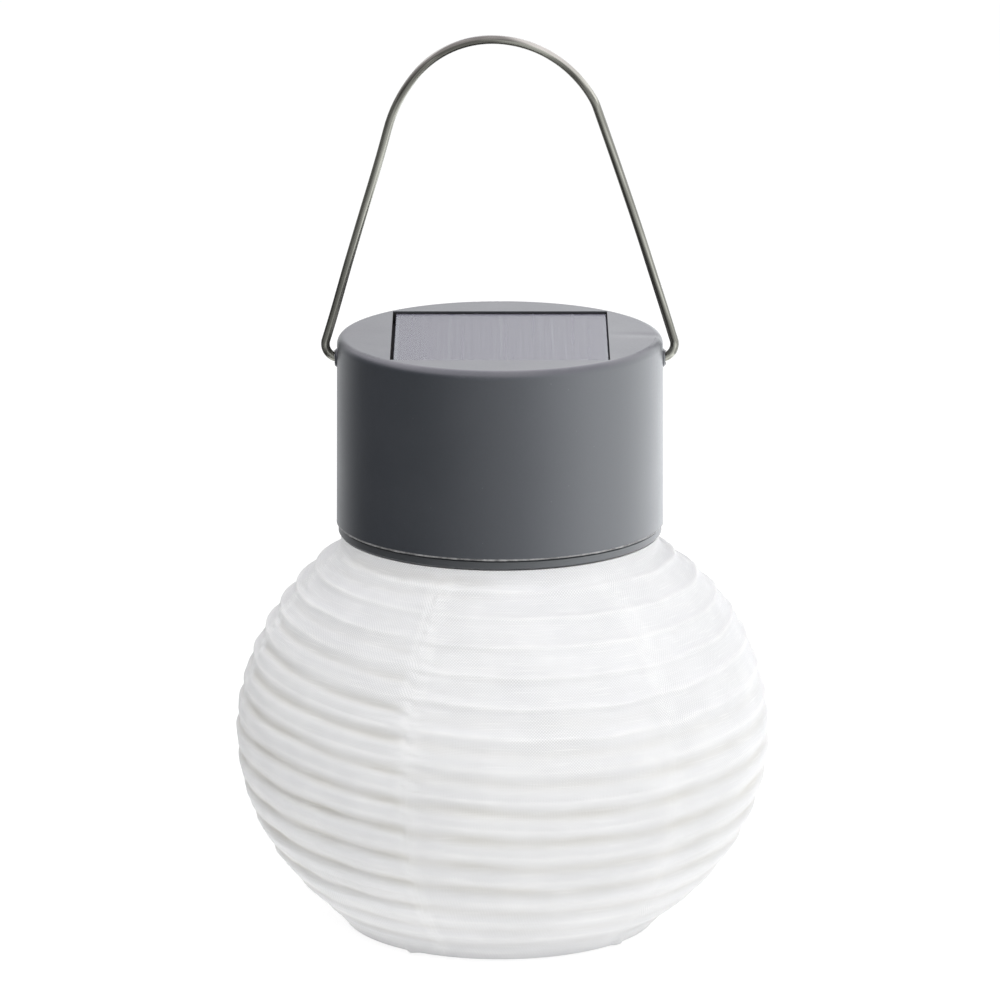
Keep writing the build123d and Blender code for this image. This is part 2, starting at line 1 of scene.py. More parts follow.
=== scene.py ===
import json
from math import asin, atan2, ceil, cos, degrees, exp, floor, hypot, pi, radians, sin

import bpy
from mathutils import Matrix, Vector, noise


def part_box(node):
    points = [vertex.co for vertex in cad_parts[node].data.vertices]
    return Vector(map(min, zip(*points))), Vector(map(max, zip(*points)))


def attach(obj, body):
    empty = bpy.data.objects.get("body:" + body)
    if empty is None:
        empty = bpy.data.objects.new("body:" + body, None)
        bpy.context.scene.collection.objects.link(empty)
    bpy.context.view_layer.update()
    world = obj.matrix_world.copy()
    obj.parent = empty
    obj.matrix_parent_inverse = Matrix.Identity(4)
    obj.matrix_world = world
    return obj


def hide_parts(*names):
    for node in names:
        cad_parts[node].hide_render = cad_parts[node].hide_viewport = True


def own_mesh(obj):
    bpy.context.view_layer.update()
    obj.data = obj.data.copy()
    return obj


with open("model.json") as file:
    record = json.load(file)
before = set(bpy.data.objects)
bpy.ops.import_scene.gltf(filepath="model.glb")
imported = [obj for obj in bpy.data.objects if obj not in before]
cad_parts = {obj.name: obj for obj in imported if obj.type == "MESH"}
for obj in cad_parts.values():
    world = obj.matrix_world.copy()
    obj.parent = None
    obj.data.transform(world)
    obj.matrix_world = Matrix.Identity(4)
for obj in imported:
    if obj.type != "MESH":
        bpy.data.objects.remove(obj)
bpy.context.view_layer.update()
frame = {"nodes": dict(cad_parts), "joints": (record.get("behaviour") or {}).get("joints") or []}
print("frame loaded,", len(frame["nodes"]), "nodes")

mm = 0.001
mergeShare = 0.01  # of a wire's radius, within which two points are one
capLow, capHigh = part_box("cap_shell")
capTop, capFoot, capFootRadius, eyeFace = capHigh.z, capLow.z, capHigh.y, capHigh.x
pinHeight = next(joint["pos_m"][2] for joint in frame["joints"] if joint["name"] == "bail_swing")

# Camera, at the photograph's height and angle
cameraValues = {"back": 1.9227, "above": 0.4404, "pitch": 14.25, "lens": 252.0, "sensor": 36.0, "reach": 50.0}
bpy.ops.object.camera_add(
    location=(0, -cameraValues["back"], capTop + cameraValues["above"]),
    rotation=(radians(90 - cameraValues["pitch"]), 0, 0),
)
camera = bpy.context.object
camera.name = "photoCamera"
camera.data.lens = cameraValues["lens"]
camera.data.sensor_width = cameraValues["sensor"]
camera.data.clip_end = cameraValues["reach"]
bpy.context.scene.camera = camera


def clearSelection():
    if bpy.context.object and bpy.context.object.mode != "OBJECT":
        bpy.ops.object.mode_set(mode="OBJECT")
    bpy.ops.object.select_all(action="DESELECT")


def editAll():
    bpy.ops.object.mode_set(mode="EDIT")
    bpy.ops.mesh.select_all(action="SELECT")


def extrudeBy(x, y, z):
    bpy.ops.mesh.extrude_region_move(TRANSFORM_OT_translate={"value": (x, y, z)})


def pick(piece):
    clearSelection()
    piece.select_set(True)
    bpy.context.view_layer.objects.active = piece


def finishPiece(piece, name, material, body=None, smoothAngle=35):
    # names the piece, puts its place into its mesh and hangs it on its body
    pick(piece)
    bpy.ops.object.transform_apply(location=True, rotation=True, scale=True)
    bpy.ops.object.shade_smooth_by_angle(angle=radians(smoothAngle))
    piece.name = name
    piece.data.name = name
    piece.data.materials.clear()
    piece.data.materials.append(material)
    if body:
        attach(piece, body)
    clearSelection()
    return piece


def applyModifier(piece, kind, **settings):
    modifier = piece.modifiers.new(kind.title(), kind)
    for key, value in settings.items():
        setattr(modifier, key, value)
    pick(piece)
    bpy.ops.object.modifier_apply(modifier=modifier.name)


def smoothStep(low, high, value):
    share = min(1.0, max(0.0, (value - low) / (high - low)))
    return share * share * (3 - 2 * share)


def bendWire(points, radius, sides, closed=False):
    # a round wire along a line of points, made a mesh with its round and its length in its map
    curve = bpy.data.curves.new("wire", "CURVE")
    curve.dimensions = "3D"
    line = curve.splines.new("POLY")
    line.points.add(len(points) - 1)
    for spot, point in zip(line.points, points):
        spot.co = (*point, 1)
    line.use_cyclic_u = closed
    curve.bevel_depth = radius
    curve.bevel_resolution = sides // 2 - 1
    curve.use_fill_caps = not closed
    wire = bpy.data.objects.new("wire", curve)
    bpy.context.collection.objects.link(wire)
    pick(wire)
    bpy.ops.object.convert(target="MESH")
    editAll()
    bpy.ops.mesh.remove_doubles(threshold=radius * mergeShare)
    bpy.ops.mesh.normals_make_consistent(inside=False)
    bpy.ops.object.mode_set(mode="OBJECT")
    return bpy.context.object


# Shader helpers
def addNode(tree, kind, inputs=None, **settings):
    node = tree.nodes.new("ShaderNode" + kind)
    for key, value in settings.items():
        setattr(node, key, value)
    for key, value in (inputs or {}).items():
        if isinstance(value, bpy.types.NodeSocket):
            tree.links.new(value, node.inputs[key])
        else:
            node.inputs[key].default_value = value
    return node


def maths(tree, operation, first, second=0.0, third=None):
    inputs = {0: first, 1: second}
    if third is not None:
        inputs[2] = third
    return addNode(tree, "Math", inputs, operation=operation).outputs[0]


def times(tree, first, second, plus=None):
    # first by second, and what is added to that
    return maths(tree, "MULTIPLY" if plus is None else "MULTIPLY_ADD", first, second, plus)


def remap(tree, value, fromLow, fromHigh, toLow=0.0, toHigh=1.0):
    inputs = {"Value": value, "From Min": fromLow, "From Max": fromHigh, "To Min": toLow, "To Max": toHigh}
    return addNode(tree, "MapRange", inputs).outputs[0]


def mixColour(tree, share, first, second):
    return addNode(tree, "Mix", {0: share, 6: first, 7: second}, data_type="RGBA").outputs[2]


def noiseAt(tree, where, scale, detail=2.0, rough=0.5):
    inputs = {"Vector": where, "Scale": scale, "Detail": detail, "Roughness": rough}
    return addNode(tree, "TexNoise", inputs).outputs[0]


def stretchedNoise(tree, where, scale, detail=2.0, turned=(0, 0, 0)):
    mapped = addNode(tree, "Mapping", {"Vector": where, "Rotation": turned, "Scale": scale}).outputs[0]
    return noiseAt(tree, mapped, 1.0, detail)


def objectPlace(tree):
    return addNode(tree, "TexCoord").outputs["Object"]


def parts(tree, vector):
    return addNode(tree, "SeparateXYZ", {0: vector}).outputs


def onMesh(tree, title):
    return addNode(tree, "Attribute", attribute_name=title).outputs["Fac"]


def startGroup(name, inputs, outputs):
    # inputs are a name, a kind of socket and a default, outputs a name and a kind
    group = bpy.data.node_groups.new(name, "ShaderNodeTree")
    for title, kind, value in inputs:
        socket = group.interface.new_socket(title, in_out="INPUT", socket_type=kind)
        if value is not None:
            socket.default_value = value
    for title, kind in outputs:
        group.interface.new_socket(title, in_out="OUTPUT", socket_type=kind)
    return group, group.nodes.new("NodeGroupInput").outputs, group.nodes.new("NodeGroupOutput").inputs


def putOut(group, gives, values):
    for title, value in values.items():
        group.links.new(value, gives[title])


def fillGroup(tree, group, inputs):
    return addNode(tree, "Group", inputs, node_tree=group).outputs


def newMaterial(name, sockets=None):
    # a material with its plain numbers on the shader's own sockets
    material = bpy.data.materials.new(name)
    material.use_nodes = True
    tree = material.node_tree
    shader = tree.nodes["Principled BSDF"]
    for key, value in (sockets or {}).items():
        shader.inputs[key].default_value = value
    return material, tree, shader


def feed(shader, title, value):
    shader.id_data.links.new(value, shader.inputs[title])


def showSurface(tree, node):
    tree.links.new(node.outputs[0], tree.nodes["Material Output"].inputs[0])


def bumpInto(tree, shader, height, strength, distance):
    bump = addNode(tree, "Bump", {"Height": height, "Strength": strength, "Distance": distance})
    feed(shader, "Normal", bump.outputs[0])


def grey(level, warm=0.0):
    return (level * (1 + warm), level, level * (1 - warm), 1)


floatKind, vectorKind = "NodeSocketFloat", "NodeSocketVector"

# Moulded skin: fine spark grain, slow waves of the mould, faint rubs and small pale specks
skinLook = {
    "waveScale": 55.0, "slowScale": 14.0, "fineScale": 1500.0, "waveHeight": 3.0, "speckHeight": 0.6,
    "rubScale": (60, 1400, 500), "rubTurn": (0.4, 0.2, 0.9), "rubEdge": (0.66, 0.8),
    "speckScale": 420.0, "speckEdge": (0.09, 0.03), "speckLot": (0.86, 0.9),
    "mottleWaves": 0.35, "mottleSlow": 0.35, "mottleFine": 0.3,
}
mouldSkin, given, gives = startGroup(
    "mouldSkin",
    [("Grain Size", floatKind, 0.4 * mm), ("Rubs", floatKind, 0.5), ("Specks", floatKind, 0.5)],
    [("Height", floatKind), ("Mottle", floatKind), ("Rub", floatKind), ("Speck", floatKind)],
)
tree = mouldSkin
where = objectPlace(tree)
grain = noiseAt(tree, where, maths(tree, "DIVIDE", 1.0, given["Grain Size"]))
waves = noiseAt(tree, where, skinLook["waveScale"], 3.0)
slow = noiseAt(tree, where, skinLook["slowScale"])
fine = noiseAt(tree, where, skinLook["fineScale"], 3.0)
streaks = stretchedNoise(tree, where, skinLook["rubScale"], 4.0, skinLook["rubTurn"])
rub = times(tree, remap(tree, streaks, *skinLook["rubEdge"]), slow)
rub = times(tree, rub, given["Rubs"])
cells = {"Vector": where, "Scale": skinLook["speckScale"], "Randomness": 1.0}
speckCells = addNode(tree, "TexVoronoi", cells).outputs
speck = remap(tree, speckCells["Distance"], *skinLook["speckEdge"])
speckLot = addNode(tree, "SeparateColor", {0: speckCells["Color"]}).outputs[0]
speck = times(tree, speck, remap(tree, speckLot, *skinLook["speckLot"]))
speck = times(tree, speck, given["Specks"])
height = times(tree, waves, skinLook["waveHeight"], grain)
height = times(tree, speck, skinLook["speckHeight"], height)
mottle = times(tree, fine, skinLook["mottleFine"])
mottle = times(tree, slow, skinLook["mottleSlow"], mottle)
mottle = times(tree, waves, skinLook["mottleWaves"], mottle)
putOut(tree, gives, {"Height": height, "Mottle": mottle, "Rub": rub, "Speck": speck})

# Edge wear: where the surface turns within a small radius, broken up by noise
wearLook = {"turned": (0.985, 0.9), "breakScale": 700.0, "broken": (0.35, 0.6, 0.25, 1.0)}
edgeWear, given, gives = startGroup(
    "edgeWear", [("Radius", floatKind, 0.6 * mm), ("Amount", floatKind, 1.0)], [("Wear", floatKind)]
)
tree = edgeWear
rounded = addNode(tree, "Bevel", {"Radius": given["Radius"]}, samples=4).outputs[0]
plain = addNode(tree, "NewGeometry").outputs["Normal"]
facing = addNode(tree, "VectorMath", {0: rounded, 1: plain}, operation="DOT_PRODUCT").outputs["Value"]
breaks = noiseAt(tree, objectPlace(tree), wearLook["breakScale"], 4.0)
turned, broken = remap(tree, facing, *wearLook["turned"]), remap(tree, breaks, *wearLook["broken"])
edge = times(tree, turned, broken)
putOut(tree, gives, {"Wear": times(tree, edge, given["Amount"])})

# Dust: on what faces up, in soft patches
dustLook = {"upward": (0.3, 0.95), "patchScale": 60.0, "patches": (0.35, 0.75)}
dust, given, gives = startGroup("dust", [("Amount", floatKind, 0.3)], [("Dust", floatKind)])
tree = dust
normal = addNode(tree, "NewGeometry").outputs["Normal"]
upwards = remap(tree, parts(tree, normal)[2], *dustLook["upward"])
patches = noiseAt(tree, objectPlace(tree), dustLook["patchScale"], 6.0, 0.7)
lying = times(tree, upwards, remap(tree, patches, *dustLook["patches"]))
putOut(tree, gives, {"Dust": times(tree, lying, given["Amount"])})

# Plain weave: threads over and under each other, on the cloth's own map
weaveLook = {"crossing": (-0.3, 0.3), "gap": (0.85, 0.45), "slubScale": (90, 2400, 1)}
weave, given, gives = startGroup(
    "weave",
    [("Map", vectorKind, None), ("Pitch", floatKind, 0.4 * mm)],
    [("Height", floatKind), ("Over", floatKind), ("Gap", floatKind), ("Slub", floatKind)],
)
tree = weave
mapped = parts(tree, given["Map"])
turnsPer = maths(tree, "DIVIDE", pi, given["Pitch"])
waveAcross = maths(tree, "SINE", times(tree, mapped[0], turnsPer))
waveDown = maths(tree, "SINE", times(tree, mapped[1], turnsPer))
threadAcross = maths(tree, "ABSOLUTE", waveAcross)
threadDown = maths(tree, "ABSOLUTE", waveDown)
over = remap(tree, times(tree, waveAcross, waveDown), *weaveLook["crossing"])
overHeight = times(tree, over, threadAcross)
underHeight = times(tree, maths(tree, "SUBTRACT", 1.0, over), threadDown)
putOut(tree, gives, {
    "Height": maths(tree, "ADD", overHeight, underHeight),
    "Over": over,
    "Gap": remap(tree, maths(tree, "MAXIMUM", threadAcross, threadDown), *weaveLook["gap"]),
    "Slub": stretchedNoise(tree, given["Map"], weaveLook["slubScale"]),
})

# Drawn wire: fine lines, long bands and slow patches that run with the wire's own map
wireLook = {
    "lengthScale": 14.0, "bandScale": (0.2, 0.2, 0.5), "patchScale": 70.0, "patchEdge": (0.3, 0.7),
    "lineEdge": (0.55, 0.75), "lineShare": 0.3, "bandEdge": (0.42, 0.58),
    "bandColour": (0.044, 0.042, 0.036, 1), "bump": 0.25, "depth": 0.02 * mm,
}
drawnWire, given, gives = startGroup(
    "drawnWire",
    [("Map", vectorKind, None), ("Fine", floatKind, 9.0)],
    [("Lines", floatKind), ("Bands", floatKind), ("Patches", floatKind)],
)
tree = drawnWire
mapped = parts(tree, given["Map"])
around = times(tree, mapped[0], 2 * pi)
ringX = times(tree, maths(tree, "COSINE", around), given["Fine"])
ringY = times(tree, maths(tree, "SINE", around), given["Fine"])
along = times(tree, mapped[1], wireLook["lengthScale"])
ring = addNode(tree, "CombineXYZ", {0: ringX, 1: ringY, 2: along}).outputs[0]
putOut(tree, gives, {
    "Lines": noiseAt(tree, ring, 1.0, 4.0),
    "Bands": stretchedNoise(tree, ring, wireLook["bandScale"]),
    "Patches": noiseAt(tree, objectPlace(tree), wireLook["patchScale"], 3.0),
})
print("shared effects made")

mouldLook = {
    "grain": 0.4 * mm, "bump": 0.35, "depth": 0.02 * mm, "rubs": 0.5, "specks": 0.4, "dusty": 0.2, "wear": 0.35,
    "edges": 0.5, "tone": (0.35, 0.65), "roughTone": (0.3, 0.7), "roughHalf": 0.05, "rubRough": 0.2,
    "paleFrom": 0.12, "paleShare": 0.8, "dustColour": grey(0.4, 0.03), "dustShare": 0.5, "dustRough": 0.2,
}


def mouldedMaterial(name, dark, light, rough, values=None):
    # plastic or rubber: grain, slow mottling, pale edges, specks, rubs and dust
    look = {**mouldLook, **(values or {})}
    material, tree, shader = newMaterial(name)
    inputs = {"Grain Size": look["grain"], "Rubs": look["rubs"], "Specks": look["specks"]}
    skin = fillGroup(tree, mouldSkin, inputs)
    worn = fillGroup(tree, edgeWear, {"Amount": look["edges"]})["Wear"]
    settled = fillGroup(tree, dust, {"Amount": look["dusty"]})["Dust"]
    pale = tuple(look["paleFrom"] + look["paleShare"] * part for part in light[:3]) + (1,)
    colour = mixColour(tree, remap(tree, skin["Mottle"], *look["tone"]), dark, light)
    colour = mixColour(tree, times(tree, worn, look["wear"]), colour, pale)
    colour = mixColour(tree, skin["Speck"], colour, pale)
    colour = mixColour(tree, times(tree, settled, look["dustShare"]), colour, look["dustColour"])
    feed(shader, "Base Color", colour)
    half = look["roughHalf"]
    roughness = remap(tree, skin["Mottle"], *look["roughTone"], rough - half, rough + half)
    roughness = times(tree, skin["Rub"], look["rubRough"], roughness)
    roughness = times(tree, settled, look["dustRough"], roughness)
    feed(shader, "Roughness", roughness)
    bumpInto(tree, shader, skin["Height"], look["bump"], look["depth"])
    return material


metalLook = {
    "tone": (0.35, 0.65), "roughTone": (0.3, 0.7), "smoother": 0.06, "rougher": 0.1,
    "bump": 0.2, "depth": 0.02 * mm,
}


def metalRoughness(tree, shader, pattern, rough):
    ends = (rough - metalLook["smoother"], rough + metalLook["rougher"])
    feed(shader, "Roughness", remap(tree, pattern, *metalLook["roughTone"], *ends))


def wireMaterial(name, dark, light, rough, metallic=1.0, bands=0.0):
    material, tree, shader = newMaterial(name, {"Metallic": metallic})
    drawn = fillGroup(tree, drawnWire, {"Map": addNode(tree, "UVMap").outputs[0]})
    lines = remap(tree, drawn["Lines"], *wireLook["lineEdge"], 0.0, wireLook["lineShare"])
    colour = mixColour(tree, remap(tree, drawn["Patches"], *wireLook["patchEdge"]), dark, light)
    colour = mixColour(tree, lines, colour, dark)
    banded = remap(tree, drawn["Bands"], *wireLook["bandEdge"], 0.0, bands)
    feed(shader, "Base Color", mixColour(tree, banded, colour, wireLook["bandColour"]))
    metalRoughness(tree, shader, drawn["Lines"], rough)
    bumpInto(tree, shader, drawn["Lines"], wireLook["bump"], wireLook["depth"])
    return material


def metalMaterial(name, dark, light, rough, size=2 * mm):
    material, tree, shader = newMaterial(name, {"Metallic": 1.0})
    mottle = noiseAt(tree, objectPlace(tree), 1 / size, 4.0)
    tone = mixColour(tree, remap(tree, mottle, *metalLook["tone"]), dark, light)
    feed(shader, "Base Color", tone)
    metalRoughness(tree, shader, mottle, rough)
    bumpInto(tree, shader, mottle, metalLook["bump"], metalLook["depth"])
    return material


clothLook = {
    "pitch": 0.42 * mm, "span": (0.787, 0.787, 0.8, 1), "cloud": (0.83, 0.83, 0.833, 1), "cloudScale": 45.0,
    # the ridge colour is a painted highlight over the wire
    "cloudEdge": (0.3, 0.7), "ridgeHighlight": (0.92, 0.918, 0.91, 1), "ridgeHighlightShare": 0.85, "seam": (0.88, 0.88, 0.88, 1),
    # the fold colour is painted warm shade in the folds
    "seamShare": 0.75, "fold": (0.6, 0.58, 0.52, 1), "foldShare": 0.7, "stitchHeight": -2.0,
    "gap": (0.62, 0.623, 0.63, 1), "gapShare": 0.5, "threadSheen": 0.66, "strongScale": 60.0,
    "strong": (0.35, 0.65, 0.35, 1.15), "slubEdge": (0.55, 0.8), "slub": 0.45, "rough": (0.85, 0.6),
    "bump": 0.6, "depth": 0.06 * mm,
    "sockets": {
        "Subsurface Weight": 0.2, "Subsurface Radius": (1.0, 0.97, 0.93), "Subsurface Scale": 1.5 * mm,
        "Specular IOR Level": 0.12,
    },
}


def clothMaterial(name, sewn):
    # thin woven cloth: threads, slubs, a painted highlight over the wire, whiter at the seams, and painted warm
    # shade in the folds
    look = clothLook
    material, tree, shader = newMaterial(name, look["sockets"])
    mapped = addNode(tree, "UVMap").outputs[0]
    woven = fillGroup(tree, weave, {"Map": mapped, "Pitch": look["pitch"]})
    cloudy = noiseAt(tree, objectPlace(tree), look["cloudScale"], 5.0)
    colour = mixColour(tree, remap(tree, cloudy, *look["cloudEdge"]), look["span"], look["cloud"])
    height = woven["Height"]
    if sewn:
        # the ridge mark paints a highlight over the wire and the fold mark paints warm shade in the folds; the
        # seam band is the doubled cloth's own paler tone
        for mark, shade in (("ridgeHighlight", "ridgeHighlight"), ("seamBand", "seam"), ("fold", "fold")):
            share = times(tree, onMesh(tree, mark), look[shade + "Share"])
            colour = mixColour(tree, share, colour, look[shade])
        height = times(tree, onMesh(tree, "stitch"), look["stitchHeight"], height)
    strong = remap(tree, noiseAt(tree, objectPlace(tree), look["strongScale"], 3.0), *look["strong"])
    # over threads are mixed towards the gap's tone: partly the weave's real pattern, partly a painted sheen
    # that differs with the threads' direction
    threadSheen = times(tree, times(tree, woven["Over"], look["threadSheen"]), strong)
    colour = mixColour(tree, threadSheen, colour, look["gap"])
    colour = mixColour(tree, times(tree, woven["Gap"], look["gapShare"]), colour, look["gap"])
    slubs = remap(tree, woven["Slub"], *look["slubEdge"], 0.0, look["slub"])
    feed(shader, "Base Color", mixColour(tree, slubs, colour, look["ridgeHighlight"]))
    feed(shader, "Roughness", remap(tree, woven["Height"], 0.0, 1.0, *look["rough"]))
    bumpInto(tree, shader, height, look["bump"], look["depth"])
    return material


# Cap: satin plastic with one shallow sink mark beside the right eye
sink = {"place": (41.0 * mm, 0.0), "length": 7 * mm, "width": 2.6 * mm, "turn": -0.12, "depth": 40.0}
capColours = ((0.0262, 0.0298, 0.0365, 1), (0.0312, 0.0348, 0.042, 1))
capPlastic = mouldedMaterial("capPlastic", *capColours, 0.36, {"specks": 0.3})
tree = capPlastic.node_tree
sinkMap = addNode(tree, "Mapping", {
    "Vector": objectPlace(tree), "Location": (*sink["place"], 0), "Rotation": (0, 0, sink["turn"]),
    "Scale": (sink["length"], sink["width"], 1),
}, vector_type="TEXTURE")
sinkSpot = parts(tree, sinkMap.outputs[0])
across = addNode(tree, "CombineXYZ", {0: sinkSpot[0], 1: sinkSpot[1]}).outputs[0]
fromSink = addNode(tree, "VectorMath", {0: across}, operation="LENGTH").outputs["Value"]
dent = maths(tree, "EXPONENT", times(tree, times(tree, fromSink, fromSink), -1.0))
bump = next(node for node in tree.nodes if node.type == "BUMP")
skinHeight = bump.inputs["Height"].links[0].from_socket
tree.links.new(times(tree, dent, -sink["depth"], skinHeight), bump.inputs["Height"])

# Painted shade: the panel's recess is made dull and painted nearly black, standing in for the shade in the gap
# round the panel
recess = {"half": 31.0 * mm, "from": 0.35 * mm, "shadeColour": (0.004, 0.004, 0.004, 1)}
sides = addNode(tree, "VectorMath", {0: objectPlace(tree)}, operation="ABSOLUTE").outputs[0]
spot = parts(tree, sides)
within = maths(tree, "LESS_THAN", maths(tree, "MAXIMUM", spot[0], spot[1]), recess["half"])
recessShade = times(tree, within, maths(tree, "LESS_THAN", spot[2], capTop - recess["from"]))
shader = next(node for node in tree.nodes if node.type == "BSDF_PRINCIPLED")
beforeRecess = shader.inputs["Base Color"].links[0].from_socket
# painted shade: inside the recess the colour goes nearly black
feed(shader, "Base Color", mixColour(tree, recessShade, beforeRecess, recess["shadeColour"]))
beforeRecess = shader.inputs["Roughness"].links[0].from_socket
feed(shader, "Roughness", maths(tree, "MAXIMUM", beforeRecess, recessShade))

trayValues = {"grain": 0.6 * mm, "depth": 0.05 * mm}
trayPlastic = mouldedMaterial("trayPlastic", grey(0.04), grey(0.055), 0.5, trayValues)
collarPlastic = mouldedMaterial("collarPlastic", (0.03, 0.033, 0.037, 1), (0.038, 0.042, 0.046, 1), 0.42)
blackPlastic = mouldedMaterial("blackPlastic", grey(0.015), grey(0.024), 0.45)
boardGreens = ((0.01, 0.05, 0.022, 1), (0.014, 0.07, 0.03, 1))
boardMask = mouldedMaterial("boardMask", *boardGreens, 0.3, {"grain": 1.2 * mm})
redLead = mouldedMaterial("redLead", (0.42, 0.02, 0.015, 1), (0.5, 0.03, 0.02, 1), 0.45, {"grain": 0.8 * mm})
blackLead = mouldedMaterial("blackLead", grey(0.012), grey(0.02), 0.45, {"grain": 0.8 * mm})
cellSleeve = mouldedMaterial("cellSleeve", (0.06, 0.16, 0.08, 1), (0.07, 0.19, 0.1, 1), 0.25, {"grain": 2 * mm})
tapeValues = {"grain": 0.5 * mm, "depth": 0.2 * mm, "dusty": 0.0}
foamTape = mouldedMaterial("foamTape", (0.03, 0.027, 0.018, 1), (0.075, 0.068, 0.045, 1), 0.9, tapeValues)
zincSteel = metalMaterial("zincSteel", grey(0.5, 0.02), grey(0.62, 0.02), 0.35)
nickelPlate = metalMaterial("nickelPlate", grey(0.58, 0.05), grey(0.68, 0.05), 0.22, 4 * mm)
mirrorPlastic = metalMaterial("mirrorPlastic", grey(0.8), grey(0.86), 0.1, 6 * mm)
bailSteel = wireMaterial("bailSteel", (0.17, 0.17, 0.148, 1), (0.275, 0.272, 0.24, 1), 0.15, 0.75, 0.85)
coilSteel = wireMaterial("coilSteel", grey(0.5, 0.01), grey(0.62, 0.01), 0.28)
shadeCloth = clothMaterial("shadeCloth", True)
hemCloth = clothMaterial("hemCloth", False)

# Flash: a ragged mix of dark and pale tones, laid by noise
flashLook = {
    "scale": 260.0, "edge": (0.36, 0.6), "tones": (grey(0.07), grey(0.24)), "bump": 0.4, "depth": 0.05 * mm,
}
flashPlastic, tree, shader = newMaterial("flashPlastic", {"Roughness": 0.5})
tears = noiseAt(tree, objectPlace(tree), flashLook["scale"], 4.0, 0.7)
colour = mixColour(tree, remap(tree, tears, *flashLook["edge"]), *flashLook["tones"])
feed(shader, "Base Color", colour)
bumpInto(tree, shader, tears, flashLook["bump"], flashLook["depth"])

# Panel: dark silicon with thin printed fingers
panelLook = {
    "pitch": 1.8 * mm, "finger": (0.9, 0.97), "fingerShare": 0.35, "print": grey(0.45, -0.03),
    "crystalScale": 420.0, "tones": ((0.032, 0.035, 0.06, 1), (0.045, 0.048, 0.08, 1)),
    "rough": (0.3, 0.4), "bump": 0.3, "depth": 0.03 * mm,
}
silicon, tree, shader = newMaterial("silicon")
where = objectPlace(tree)
across = parts(tree, where)[0]
wave = maths(tree, "SINE", times(tree, across, 2 * pi / panelLook["pitch"]))
finger = remap(tree, wave, *panelLook["finger"])
cells = addNode(tree, "TexVoronoi", {"Vector": where, "Scale": panelLook["crystalScale"]}).outputs["Color"]
crystal = addNode(tree, "SeparateColor", {0: cells}).outputs[0]
colour = mixColour(tree, crystal, *panelLook["tones"])
colour = mixColour(tree, times(tree, finger, panelLook["fingerShare"]), colour, panelLook["print"])
feed(shader, "Base Color", colour)
feed(shader, "Roughness", remap(tree, crystal, 0.0, 1.0, *panelLook["rough"]))
bumpInto(tree, shader, finger, panelLook["bump"], panelLook["depth"])

# Clear coat over the panel: milky casting resin with specks, pits and faint stripes
coatLook = {
    "skin": {"Grain Size": 1.2 * mm, "Rubs": 0.6, "Specks": 1.0},
    "stripeScale": (900, 12, 1), "stripes": (0.35, 0.7),
    "tones": ((0.17, 0.16, 0.225, 1), (0.207, 0.197, 0.262, 1)), "speck": grey(0.7), "speckCover": 0.8,
    "rough": (0.3, 0.7, 0.2, 0.28), "milk": (0.4, 0.8, 0.16, 0.66), "bump": 0.05, "depth": 0.01 * mm,
}
clearCoat, tree, shader = newMaterial("clearCoat", {"Specular IOR Level": 0.6})
skin = fillGroup(tree, mouldSkin, coatLook["skin"])
stripes = stretchedNoise(tree, objectPlace(tree), coatLook["stripeScale"], 3.0)
colour = mixColour(tree, remap(tree, stripes, *coatLook["stripes"]), *coatLook["tones"])
feed(shader, "Base Color", mixColour(tree, skin["Speck"], colour, coatLook["speck"]))
feed(shader, "Roughness", remap(tree, stripes, *coatLook["rough"]))
glance = addNode(tree, "LayerWeight", {"Blend": 0.5}).outputs["Facing"]
speckCover = times(tree, skin["Speck"], coatLook["speckCover"])
milky = maths(tree, "MAXIMUM", remap(tree, glance, *coatLook["milk"]), speckCover)
feed(shader, "Alpha", milky)
bumpInto(tree, shader, skin["Height"], coatLook["bump"], coatLook["depth"])

# Lamp: clear resin, a little clouded
lampLook = {"scale": 600.0, "tones": ((0.9, 0.9, 0.82, 1), (0.97, 0.97, 0.93, 1))}
lampResin, tree, shader = newMaterial("lampResin", {"Roughness": 0.08, "IOR": 1.5, "Transmission Weight": 0.9})
haze = noiseAt(tree, objectPlace(tree), lampLook["scale"], 3.0)
feed(shader, "Base Color", mixColour(tree, haze, *lampLook["tones"]))
print("materials made")

finishes = {
    "cap_shell": capPlastic, "solar_board": boardMask, "solar_cells": silicon, "solar_cover": clearCoat,
    "panel_gasket": foamTape, "battery_tray": trayPlastic, "tray_screws": zincSteel,
    "battery_door": trayPlastic, "battery_cell": cellSleeve,
    "contact_plates": nickelPlate, "contact_spring": nickelPlate,
    "circuit_board": boardMask, "board_parts": blackPlastic, "led": lampResin, "led_leads": nickelPlate,
    "led_reflector": mirrorPlastic, "switch_body": blackPlastic, "switch_slider": blackPlastic,
    "leads_red": redLead, "leads_black": blackLead, "collar_ring": collarPlastic, "top_hoop": zincSteel,
    "bottom_hoop": zincSteel, "bail_wire": zincSteel, "shade_spiral": zincSteel, "shade_fabric": hemCloth,
    "bottom_hem": hemCloth,
}
for node, material in finishes.items():
    part = frame["nodes"][node]
    part.data.materials.clear()
    part.data.materials.append(material)

# Shade outline, as angles down from the ball's pole and bearings round its axis.
# The wire winds down one rib for each turn, and its turns lift at the lantern's two sides.
ball = {
    "radius": 75.8 * mm, "halfHeight": 66.8 * mm, "middle": 56.4 * mm,
    "top": (45.3 * mm, 113.8 * mm), "foot": (44.6 * mm, 0.5 * mm),
    "topAngle": 34.0, "footAngle": 144.9, "topBlend": 3.9, "footBlend": 7.5,
    "ribAngle": 38.8, "ribStep": 7.38, "ribBearing": 270.0,
    "lift": 4.4, "liftBearing": 280.0, "liftFrom": (37.0, 76.0), "liftTo": (136.0, 112.0),
    "sway": 0.85 * mm, "swayFrom": (36.0, 58.0), "swayTo": (144.0, 132.0),
}


def onBall(angle):
    return Vector((
        ball["radius"] * sin(radians(angle)),
        ball["middle"] + ball["halfHeight"] * cos(radians(angle)),
    ))


